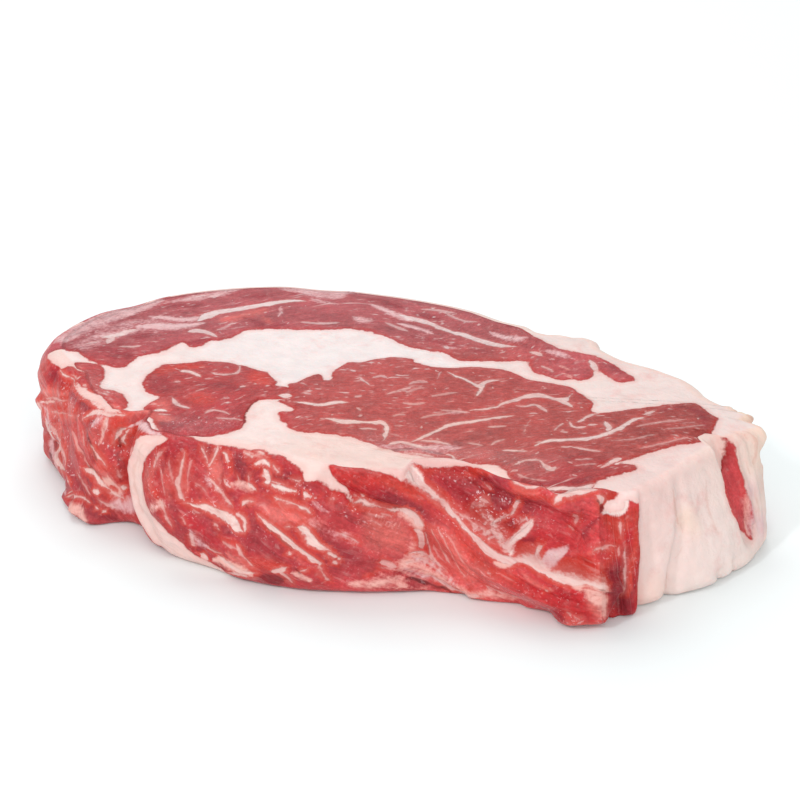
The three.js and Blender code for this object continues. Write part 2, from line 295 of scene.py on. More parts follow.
def fold_relief(length, height, folds):
    """Sum of all folds at places on the unrolled wall."""
    relief = np.zeros(length.shape)
    for head, line in folds:
        sizes = [float(word) for word in head]
        near = near_box(length, height, line[:, :2], max(sizes[2:4]))
        relief[near] += fold_height(length[near], height[near], line[:, :2], *sizes)
    return relief


print(len(FOLDS), "folds and", len(FINE_FOLDS), "fine folds")

# %% [markdown]
# ## Uneven meat
#
# Nothing on meat is even. A smooth random field, made by blending random values at the corners
# of a grid of cubes, wobbles borders, swells muscles and roughens the wall. It is worked out
# from a fixed hash, so the steak comes out the same every time.

# %% A smooth random field
CORNER_MIX = (73856093, 19349663, 83492791)
SEED_MIX, STIR = 2654435, 1274126177
KEEP_POSITIVE, SIXTEEN_BITS = 0x7FFFFFFF, 0xFFFF


def uneven(points, size, seed):
    """Random field from -1 to 1 with lumps of the given size: a hash gives each grid corner a
    value, and the eight corners round a place are blended with eased weights."""
    scaled = np.asarray(points, float) / size
    corner = np.floor(scaled).astype(np.int64)
    ease = smooth01(scaled - corner)
    total = np.zeros(scaled.shape[:-1])
    for k in range(8):
        step = np.array([k & 1, k >> 1 & 1, k >> 2 & 1])
        at = corner + step
        mixed = seed * SEED_MIX
        for axis, factor in enumerate(CORNER_MIX):
            mixed = mixed ^ (at[..., axis] * factor)
        mixed = (mixed ^ (mixed >> 13)) * STIR & KEEP_POSITIVE
        weight = np.prod(np.where(step == 1, ease, 1 - ease), axis=-1)
        total += weight * ((mixed >> 7 & SIXTEEN_BITS) / (SIXTEEN_BITS / 2) - 1)
    return total


def flat_points(across, up, level=0.0):
    """Places on a drawn plane as points in space, for the random field."""
    return np.stack([across, up, np.full(np.shape(across), float(level))], -1)


def layered(places, parts):
    """Sum of random fields, each with its own amount, size of lumps and seed."""
    return sum(amount * uneven(places, size, seed) for amount, size, seed in parts)


sample = uneven(np.arange(3000.0).reshape(-1, 3), 5, 1)
print(f"random field from {sample.min():.2f} to {sample.max():.2f}")

# %% [markdown]
# ## The wall and the cut faces
#
# The whole skin is one grid. Its columns go round the rim, closer together along the ragged
# front. Its rows start under the middle, run out over the flat underside, climb the wall and
# close over the cut top. The wall rows bend to follow the crest of the strip, so that its sharp
# edge lies on an edge of the mesh instead of stepping across it.

# %% Columns and rows
FRONT_LENGTH = 284.0
FRONT_COLUMNS, BACK_COLUMNS = 420, 200
LOW_ROWS, HIGH_ROWS, RIM_ROWS = 26, 30, 8
RIM_START = 33.0
CROWDING = 1.3
UNDER_RINGS, TOP_RINGS = 14, 76
GUIDE_PLAIN = 18.0
GUIDE = np.array([(130, GUIDE_PLAIN), (148, 29), (156, 29), (163, 25.5), (171, 21.5), (180, 18.5),
                  (190, 16), (200, 13), (207, 11.5), (212, 12), (226, GUIDE_PLAIN)])

front = np.arange(FRONT_COLUMNS) / FRONT_COLUMNS * FRONT_LENGTH
back = FRONT_LENGTH + np.arange(BACK_COLUMNS) / BACK_COLUMNS * (PERIMETER - FRONT_LENGTH)
columns = np.concatenate([front, back])
guide = np.interp(columns, GUIDE[:, 0], GUIDE[:, 1])

FOOT_SHARES = np.array([0, 0.08, 0.2, 0.35, 0.52])
LOWEST_SHARE = 0.7
low = np.linspace(0, 1, LOW_ROWS, endpoint=False)[:, None]
high = (np.linspace(0, 1, HIGH_ROWS)[:, None]) ** CROWDING
over = np.sin(np.linspace(0, np.pi / 2, RIM_ROWS + 1)[1:, None])
lowest = LOWEST_SHARE * FOOT_ROUND
heights = np.concatenate([
    FOOT_ROUND * FOOT_SHARES[:, None] + 0 * columns,
    lowest + low * (guide - lowest),
    guide + high * (RIM_START - guide),
    RIM_START + over * (THICKNESS - RIM_START) + 0 * columns,
])
along_rim = np.broadcast_to(columns, heights.shape).copy()
print("wall grid", heights.shape)

# %% [markdown]
# The wall could be sculpted by hand, but a formula is easier to change: the rim curve is pushed
# outwards by one amount for each thing that shapes the wall, and the amounts simply add up. The
# fibres get their own coordinates, so that roughness and, later, colour run along the meat.

# %% Fibres of the wall
# millimetres along the rim, and how steeply the fibres rise there
GRAIN_AT = [0, 20, 40, 58, 80, 110, 203, 211, 230, 600]
GRAIN_SLOPES = [0.3, 0.8, 1.2, 2.5, 1.2, 0.7, 0.55, 2.4, 6, 6]


def lean_grain(length, height):
    """How far each place is across and along the meat's fibres on the wall: they lean over the
    front like the strip does, and stand upright in the block beside the fat."""
    slope = np.interp(length, GRAIN_AT, GRAIN_SLOPES)
    size = np.hypot(1, slope)
    return (height + slope * length) / size, (length - slope * height) / size


print("steepest fibres rise", max(GRAIN_SLOPES), "mm in one")

# %% Wall surface
# amount, stretch along the fibres, size of lumps, seed
FIBRE_ROUGHNESS = ((0.34, 9, 1.7, 1), (0.22, 5, 0.9, 2))
# amount, size of lumps, seed
LUMPS = ((0.55, 9, 3), (0.3, 4, 4))
CALM_EDGE = 3.0
FLAT_FAT_START, FLAT_FAT_SHARE = 213.0, 0.75


def wall_surface(length, height):
    """Rim curve pushed outwards by: the flare of the foot times (1 - share of height) to a
    power, the belly 4 s (1 - s), the folds, a fibrous roughness, less the two round edges."""
    x, y, flare, radius, belly = np.moveaxis(closed_curve(turn_at(length)), -1, 0)
    share = height / THICKNESS
    push = flare * (1 - share) ** FLARE_POWER + belly * 4 * share * (1 - share)
    push += fold_relief(length, height, FOLDS) + fold_relief(length, height, FINE_FOLDS)
    across, along = lean_grain(length, height)
    calm = smooth01(height / CALM_EDGE) * smooth01((THICKNESS - height) / CALM_EDGE)
    fibrous = sum(amount * uneven(flat_points(across, along / stretch), size, seed)
                  for amount, stretch, size, seed in FIBRE_ROUGHNESS)
    fat = smooth01((length - FLAT_FAT_START) / CALM_EDGE)
    push += calm * (layered(flat_points(length, height), LUMPS) + fibrous * (1 - FLAT_FAT_SHARE * fat))
    over_rim = np.clip((height - THICKNESS + radius) / radius, 0, 1)
    under_foot = np.clip((FOOT_ROUND - height) / FOOT_ROUND, 0, 1)
    push += radius * (EDGE_OUT - 1 + np.sqrt(1 - over_rim**2))
    push -= FOOT_ROUND * (1 - np.sqrt(1 - under_foot**2))
    direction = outward(length)
    return np.stack([x + direction[..., 0] * push - BOX_MIDDLE[0],
                     y + direction[..., 1] * push - BOX_MIDDLE[1], height], -1)


wall = wall_surface(along_rim, heights)
print("wall spans", np.round(np.ptp(wall.reshape(-1, 3), axis=0), 1), "mm")

# %% Height along the skin
def unrolled(length, height):
    """Millimetres up the skin of the wall: the height, and over the round rim the length of its
    arc, so that tissues drawn near the rim aren't stretched."""
    radius = closed_curve(turn_at(length))[..., 3]
    over_rim = np.clip((height - THICKNESS + radius) / radius, 0, 1)
    return np.minimum(height, THICKNESS - radius) + radius * np.arcsin(over_rim)


up_wall = unrolled(along_rim, heights)
print(f"the wall is up to {up_wall.max():.1f} mm high along its skin")

# %% Rings of the two cut faces
def face_rings(edge, shares):
    """Rings drawn in from an edge ring, each a share of the way to the middle of the face."""
    middle = np.append(FACE_MIDDLE, edge[0, 2])
    return edge + (middle - edge) * shares[:, None, None]


top_shares = np.linspace(0, 1, TOP_RINGS + 1, endpoint=False)[1:]
under_shares = np.linspace(0, 1, UNDER_RINGS + 1, endpoint=False)[1:][::-1]
top = face_rings(wall[-1], top_shares)
under = face_rings(wall[0], under_shares)
print(len(top), "rings on the top and", len(under), "on the underside")

# %% [markdown]
# ## The tissue map of the cut face
#
# On the real steak the cut shows four muscles. The big eye lies towards the fat corner, a
# smaller oval beside it, a long dark band curls round the back, and a ragged piece lies at the
# left end. Each is an outline, and so are the bridge from the eye to the oval and the rim of the
# left end. What is kept for each place is its distance inside the nearest muscle: the material
# draws the border where that distance is nought, so it stays sharp however coarse the mesh is.

# %% Muscles
MUSCLES = table("""
eye: -29.5 -9, -30 0.5, -28 3, -23.5 8, -21.5 8, -20 4.5, -18 5, -18 10, -14 16, -12.5 17, -8.5 17, \
-1 19.5, 7 18.5, 8 16, 15 11.5, 33 11.5, 41.5 5, 51 1, 55.5 -4, 58.5 -10, 58.5 -15, 61 -17, 73 -15, \
85.5 -13, 88.5 -13, 92 -20.5, 93 -24, 90 -34.5, 80 -40, 68.5 -45.5, 59.5 -50.5, 57.5 -52.5, 64 -49.5, \
68 -52, 64.5 -55.5, 57 -60.5, 52 -66, 37 -66, 34 -61, 32.5 -58, 30.5 -53, 27 -50.5, 17 -48, 7.5 -44, \
-1.5 -40, -8.5 -35, -13 -32.5, -24 -30.5, -28 -29.5, -31.5 -23, -32 -19, -29 -18.5, -28 -17, -30.5 -14, \
-33 -11
bridge: -38 2, -36 -2, -33 -0.5, -29.5 -2.5, -29 -9, -37.5 -10, -40 -8
oval: -73.5 3, -72 9.5, -68.5 15, -64.5 16.5, -53.5 17, -48 16, -40 12, -37 10, -35 5, -34 0.5, -36.5 -8, \
-38.5 -10.5, -41.5 -18.5, -42 -27, -44.5 -29.5, -51.5 -33, -54 -38, -60 -44, -68 -42, -67 -31, -67 -26, \
-70.5 -17, -71 -13, -68 -8, -72 -2.5
back band: -112 30, -106 24.5, -102.5 28, -99.5 24.5, -96 23.5, -90.5 17, -84 13.5, -80.5 13.5, -77 20, \
-71 22, -66.5 26.5, -64.5 29, -62 26.5, -59 26.5, -56.5 30.5, -51 32.5, -46 39.5, -36.5 41.5, -20.5 40.5, \
-13 41, -3.5 36.5, 3 29, 12 24.5, 17 22.5, 20 18, 24 16.5, 40.5 17, 42 15, 43 10, 49 5, 57 5, 60.5 6, \
61.5 9.5, 63.5 9.5, 67 3, 70.5 2.5, 73 4.5, 69 11.5, 62.5 19.5, 53.5 23, 47.5 31, 40.5 42.5, 31.5 53.5, \
15.5 65, -10 78, -38 84, -72 78, -96 62, -112 44
left piece: -99.5 11, -97.5 13, -95.5 16.5, -91.5 16.5, -88 14.5, -86 8, -86 2.5, -85 -1, -80.5 -3, \
-77 -8.5, -76 -14, -79 -16.5, -84 -12.5, -82.5 -10.5, -84.5 -8, -88.5 -4, -92.5 -1.5, -96.5 6
rim of the left end: -112 22, -104 16, -100 8, -94 -3, -88 -10, -83 -16, -80 -24, -100 -5, -114 14
""")

print("muscles drawn:", len(MUSCLES))

# %% Distance inside an outline
TINY = 1e-12


def smooth_outline(points, steps=5):
    """Closed smooth curve through the points."""
    part = (np.arange(steps) / steps)[None, :, None]
    neighbours = (np.roll(points, -k, axis=0)[:, None] for k in (-1, 0, 1, 2))
    return through_points(*neighbours, part).reshape(-1, 2)


def inside_by(across, up, outline):
    """Signed distance to a closed outline, above nought inside it: the least distance to any
    edge, with the sign from counting the edges crossed on the way out to the right."""
    nearest = np.full(across.shape, FAR)
    inside = np.zeros(across.shape, bool)
    ends = np.roll(outline, -1, axis=0)
    for (ax, ay), (bx, by) in zip(outline, ends):
        rx, ry = bx - ax, by - ay
        px, py = across - ax, up - ay
        held = np.clip((px * rx + py * ry) / (rx * rx + ry * ry + TINY), 0, 1)
        nearest = np.minimum(nearest, (px - held * rx) ** 2 + (py - held * ry) ** 2)
        if ay != by:
            crosses = (ay > up) != (by > up)
            inside ^= crosses & (px < rx * (up - ay) / ry)
    return np.where(inside, 1, -1) * np.sqrt(nearest)


# %% Lean and fat on the cut faces
def wobbled(across, up, amount, seed):
    """The same places shifted by random fields, so that drawn borders come out uneven."""
    places = flat_points(across, up, seed * 7.0)
    shifts = [layered(places, ((1, 8, first), (0.45, 3, first + 1))) for first in (seed, seed + 2)]
    return across + amount * shifts[0], up + amount * shifts[1]


FAR_OUTSIDE = -30.0
BORDER_WANDER = 0.9


def face_lean(x, y, seed):
    """Distance inside the nearest muscle of a cut face."""
    x, y = wobbled(x, y, BORDER_WANDER, seed)
    lean = np.full(x.shape, FAR_OUTSIDE)
    for _, outline in MUSCLES:
        lean = np.maximum(lean, inside_by(x, y, smooth_outline(outline[:, :2])))
    return lean


# the muscles lean a little on their way down through the slice
UNDER_SHIFT = (1.5, 1.0)
top_lean = face_lean(top[..., 0], top[..., 1], 11)
under_lean = face_lean(under[..., 0] + UNDER_SHIFT[0], under[..., 1] + UNDER_SHIFT[1], 31)
print(f"{(top_lean > 0).mean():.0%} of the top grid is lean")

# %% [markdown]
# ## The tissue map of the wall
#
# On the wall the map is drawn unrolled, by millimetres along the rim and up the skin. The front is
# lean meat up to the fat corner, where a clean wall of fat begins. A red slit shows between that
# wall and the outer flap of fat. The back is the outside of the animal's loin, under a thin,
# uneven cover of fat.

# %% Fat drawn on the wall
FAT_WALL_START, FAT_COVER_START, FAT_COVER_END = 212.6, 268.0, 520.0
SLIT = table("""slit: 255.5 36, 254.5 31, 252 27.5, 248 26.5, 247 22, 247.5 18, 249.5 13.5, \
254 9, 255.5 7, 257.5 10.5, 258.5 14, 257.5 17.5, 256.5 21, 256.3 27, 256.3 31, \
256.3 35""")[0][1][:, :2]
WALL_FAT = table("""
seam over the front lobe: 84 43, 86 37, 98 36.4, 108 37, 117.5 35.5, 120 33.5, 122.5 33.3, 124.5 32.5, \
127.5 30.5, 131 30, 133.5 28.3, 132 30.5, 129.5 32.7, 126.5 35, 125.5 38, 130.5 39.5, 135 38.2, \
142.5 36.2, 147 34.3, 149 36.2, 154.5 34.6, 160.5 34.7, 167.5 36.6, 172.5 38.2, 178 43
band round the front lobe: 74 37, 68.5 36, 65 33, 63.5 28, 61.5 24, 60.5 17, 61 10, 65 6.5, 69 4, 75 2, \
82 0, 98 0, 97.5 1.5, 95 3, 88.5 4, 85 5.5, 82 8, 79 10.5, 76 13, 73 14.5, 69.5 17, 68 20.5, 68 24.5, \
68.5 27.5, 71 31.5, 73 34, 75 36
corner over the block: 203.5 30.5, 204 32.5, 205.5 34, 207 35, 208 37, 209 43, 217 43, 216 37, \
213.5 33.5, 209.5 34.5, 209 32.5, 207 30.5
wedge at the left: 24 36.6, 31.5 36.2, 40 37, 48.5 37, 53.5 36.4, 50 38.4, 43.5 39.6, 36 39.4, 29 37.8
fold at the back rim: 320 30, 350 30, 350 46, 320 46
lump at the left corner: -4 36.4, 2 35.4, 8 35.6, 12.5 36.4, 14 39, 20 40, 21 45, -4 45
""")

# %% Lean and fat of each place on the wall
# amount, size of lumps, seed
FRONT_BORDER = ((0.35, 5, 57),)
END_BORDER = ((13, 11, 58), (5, 3.5, 62))
COVER_ISLANDS = ((3.2, 7, 59), (1.4, 3, 60))
LEAN_START = -30
COVER_DEPTH = 1.9
COVER_STRETCH = 2.2
THINNER_FROM, THINNER_OVER, THINNER_BY = 430, 90, 3
WALL_WANDER, COVER_WANDER = 0.6, 2.6


def wall_lean(length, height):
    """Distance inside lean meat on the wall: the front as far as the fat wall, the slit, and
    islands in the thin fat cover of the back, less the patches of fat on the front."""
    s, z = wobbled(length, height, WALL_WANDER, 51)
    front_lean = FAT_WALL_START - length + layered(flat_points(s, z), FRONT_BORDER)
    front_lean = np.minimum(front_lean, s - LEAN_START)
    end_lean = length - FAT_COVER_END + layered(flat_points(length, height), END_BORDER)
    bent, raised = wobbled(length, height, COVER_WANDER, 65)
    cover = layered(flat_points(bent / COVER_STRETCH, raised), COVER_ISLANDS) - COVER_DEPTH
    cover += THINNER_BY * smooth01((length - THINNER_FROM) / THINNER_OVER)
    cover = np.minimum(cover, length - FAT_COVER_START)
    lean = np.maximum(np.maximum(front_lean, end_lean), cover)
    lean = np.maximum(lean, inside_by(s, z, smooth_outline(SLIT)))
    for _, outline in WALL_FAT:
        lean = np.minimum(lean, -inside_by(s, z, smooth_outline(outline[:, :2])))
    return lean


wall_tissue = wall_lean(along_rim, up_wall)
print(f"{(wall_tissue > 0).mean():.0%} of the wall grid is lean")

# %% [markdown]
# ## Thin lines
#
# Veins of fat, threads of membrane and cracks are thin lines that taper to both ends; a crack is
# drawn dark, as painted shade in the gap. For each place the signed distance to its nearest line is
# kept, below nought on one side and above on the other, with the line's half width and its share
# of fat there. The material draws the line where the distance without its sign is under the half
# width. The sign lets the value pass through nought between two vertices, so a half millimetre vein
# is crisp on a one millimetre mesh. Lines that meet go in different layers, because one layer can't
# hold the sign of two lines at once.

# %% Drawn lines
# share of fat, which is below nought for a crack, drawn dark as painted shade, and the points
FACE_LINES = table("""
.9: -71 -24 1.1, -68.5 -27 1.4, -66.5 -30 1.05, -65 -33.5 .65
.9: 31.5 -56.5 .45, 33 -59.5 .55, 34.5 -62 .7
.9: 39 -64 .85, 42.5 -64.5 .7, 50 -64.5 .85, 53 -63.5 .75, 56 -61.5 .7
.4: 34.5 -56.5 .4, 38 -59, 42.5 -60 .45
.7: -0.5 -37 .9, 3 -36 .95, 6 -37.5 .85, 9.5 -40 .8
.6: 8.5 -35 .6, 12.5 -36, 17 -38
-.5: -5 -39.5 .45, 3.5 -40.5 .75, 7.5 -41 .6
-.4: 8.5 -41.5 .6, 12 -42.5, 15.5 -43.5 .45
-.35: 0.5 -43.5 .45, 5.5 -45.5, 11 -47
.7: 16 -43.5 .4, 17.5 -45.5 .55, 18 -48 .4
.6: 3 -42.5 .6, 7.5 -43.5, 12.5 -45.5
-.16: -36.5 -28.5 .65, -32 -28.5
-.12: -25.5 -32.5 .45, -17 -34.5, -8.5 -37
-.12: -42.5 -35 .45, -37.5 -36
-.16: -31 -37 .6, -28.5 -37.5 .75, -26.5 -37.5 .45
.3: -19 -47 .45, -18 -44 .7, -17.5 -43 .4
.8: 17 8 .35, 19.5 4.5 .5, 22 2.5 .55, 24.5 -1 .8, 26.5 -1.5 1.25, 27.5 0.5 .75, 30 2.5 .6, 33 3 .5
.85: 26.5 -1.5 .65, 26 -4.5, 24.5 -8 .35
.75: 23 -17 .45, 30.5 -15 .55, 33 -12 .7, 38.5 -8 .9, 41.5 -6.5 1.3, 44.5 -6.5 1.35, 47.5 -8 1, \
50.5 -8.5 1.3, 52 -7 .65, 53.5 -4.5 .3
.8: 49.5 -8.5 .95, 51 -10.5 .9, 53 -14 .45
.55: 36.5 -13 .5, 39.5 -14 .65, 42 -12.5, 44 -14.5 .5, 45.5 -17.5 .45
.55: 40 -19 .45, 42.5 -18.5 .65
.85: 6 -35.5 .5, 15 -28 .8, 17.5 -26 .85, 33.5 -21 .6, 36 -20.5 .3
.5: 27.5 -28 .5, 30 -28 .65, 33 -27.5 .3
.9: 40 -40.5 .75, 42.5 -38.5 .8, 45.5 -37.5 .9, 49.5 -37, 57.5 -34.5 .85, 60.5 -32.5 .75, 65.5 -28 .85, \
68 -25 .7, 70.5 -23 .85, 73.5 -21.5 .45
.75: 53.5 -24 .45, 58 -19 .75, 60.5 -17 .55
.65: 51.5 -23.5 .25, 52 -27 .55, 54 -28 .65, 56 -27 .4
.8: 61 -23 .75, 61.5 -25.5 .95, 62.5 -28 .7, 61.5 -30 .55
.6: 56.5 -26 .75, 59 -25.5 .6
.7: 73 -19.5 .5, 75 -18.5 .7, 77 -17.5 .45
.5: 46.5 -30.5 .25, 48 -27 .35, 49.5 -25 .3
.5: 49 -30.5 .65, 50.5 -32
.35: 37.5 -32 .25, 38.5 -28, 40 -23.5 .15
.75: 31 -43.5 .45, 34 -43.5 .6, 38 -44 .45
.6: 47 -41.5 .45, 51.5 -41.5, 56 -42.5 .6, 59 -43 .3
.45: 28 -40 .3, 29.5 -37.5 .5, 32 -36 .45
.45: 21.5 -37.5 .4, 23.5 -38.5 .55, 26 -40 .3
.65: 33.5 -52.5 .25, 36 -50.5 .4, 38.5 -49.5 .45, 41 -50 .5, 42.5 -52.5 .65, 44 -54.5 1.45, 45.5 -53.5 .85
.5: 51 -49.5 .4, 56 -48
.4: 50.5 -53 .4, 57 -50.5
.9: 57.5 -53 .4, 62 -48.5 .7, 64.5 -47 .8
.35: 5 -1 .65, 8 0.5 .85, 11 0.5 .7
.3: 4 -6 .45, 7 -4 .65, 10 -3 .5
.4: -1.5 -6.5 .45, 2 -4.5 .6, 6 -2.5 .45
.6: -9.5 4.5 .3, -8 1.5 .4, -6.5 -1 .3
.9: -28.5 -13 .5, -25 -13, -21 -14 .85, -18 -13 .95, -15.5 -12 1, -12.5 -12 .65
.85: -33 -8.5 .65, -31 -8.5 1.35, -29 -8 .95
.9: -20 -23 .5, -17.5 -22.5 .65, -12.5 -24 1.55, -7.5 -24 .65, -4.5 -24 .95, -2.5 -23.5 1.15, \
-1 -26 .9, -1 -30.5 .7, -2 -35 .75
.6: -9 -28 .3, -6.5 -28 .5, -3.5 -28 .3
.5: -11 -8.5 .65, -8.5 -7
.45: -25.5 -6 .6, -23 -7
.6: -13 11.5 .65, -11 9.5
.5: -10 -15 .5, -9 -16.5
.35: -27 1.5 .35, -25 -1
.4: -6 4.5 .5, -3 6 .7, -1 4.5 .45
.35: 15 8.5 .25, 13.5 3
.4: 3 -12 .45, 6.5 -13 .65, 10 -12 .45
.35: 11.5 -8 .5, 15.5 -6.5 .65, 20 -6 .5
.35: 0.5 -19.5 .45, 4 -18.5 .6
.35: 8.5 -21 .45, 13 -19.5 .65, 18 -18.5 .45
.4: 14.5 -16 .45, 18.5 -17.5 .65, 23 -18.5 .5
.35: 62 -36 .45, 68.5 -35, 75.5 -32.5
.35: 70 -40.5 .4, 77 -38 .55, 84.5 -34.5 .4
.35: 70 -27.5 .45, 77.5 -25 .6, 84.5 -23.5 .45
.3: 78 -30 .45, 84.5 -28.5, 89.5 -27.5 .3
.4: 80.5 -16.5 .5, 82 -17 .65
.8: -63.5 10 .65, -61 9.5 .8, -59 8 .65, -57 6 .45
.55: -55 10 .25, -52.5 8 .45, -49.5 7.5 .7, -46.5 8.5 .55, -45.5 12 .25, -46.5 16 .15
.9: -68.5 -16.5 .65, -66.5 -16.5 .95, -64.5 -17 .6
.6: -67 -19 .45, -64 -19.5
.7: -64.5 -8 .35, -62 -13 .75, -58 -16 .4
.4: -65 3 .5, -62.5 3 .7
.5: -44.5 -2.5 .65, -42.5 -1.5
.35: -55.5 4.5 .5, -53 4.5
.5: -53.5 -19.5 .45, -51.5 -17.5 .65, -48.5 -18.5 .55, -46.5 -21 .35
.5: -50.5 -22.5 .3, -45.5 -23.5 .45, -43 -24 .3
.35: -57.5 -4 .5, -55 -3
-.6: -38.5 -10 .2, -41.5 -18.5 .4, -42 -27 .2
-.3: -92.5 48 .65, -89.5 51 1, -86.5 54 .7
-.25: -99 36.5 1, -95 39.5 .7
.85: -61.5 45.5 .8, -59.5 48.5 1.7, -57 52 1.95, -50 56.5 1.5, -41 59.5 1.55, -35.5 61.5 1.2, -30.5 62, \
-27.5 61.5 .8
.7: -90 34 1.15, -86.5 35 1.45, -79.5 39.5 1.05
.65: -64 37 .75, -61 38 1.5, -57.5 36.5 1.3, -54 34 .6
.6: -87.5 29 .65, -87 32 1.1, -86 34 .45
.5: -84 27.5 .55, -80 26.5 .75, -77 27.5 .55
.4: -94 29 .75, -90.5 30.5
.45: -28.5 45.5 .75, -22.5 44, -16 44.5
.75: 2 52 1, 6.5 48.5 1.35, 11 46.5, 18.5 40 .95, 21.5 38 1.25, 32.5 29 1.35, 36 27.5 1.1, 39 27.5 .75
.4: -2 45.5 .65, 1.5 42.5, 5.5 39.5 .6
.6: 42 23 .65, 44.5 21.5 .95, 46 20 .6
.8: 60 17 .55, 61 13.5 .95, 62.5 5 .65
.45: 45 13.5 .55, 48.5 10
.4: 17.5 53.5 .45, 22.5 48.5 .7, 27 47 .55
.4: 9 56.5 .6, 15.5 55 .75, 20.5 53.5 .55
.3: -55 38.5 .5, -52 41 .6, -49.5 45.5 .4
.7: -89 1.5 .45, -88.5 -0.5
.5: -84 -3 .6, -83 -4
""")
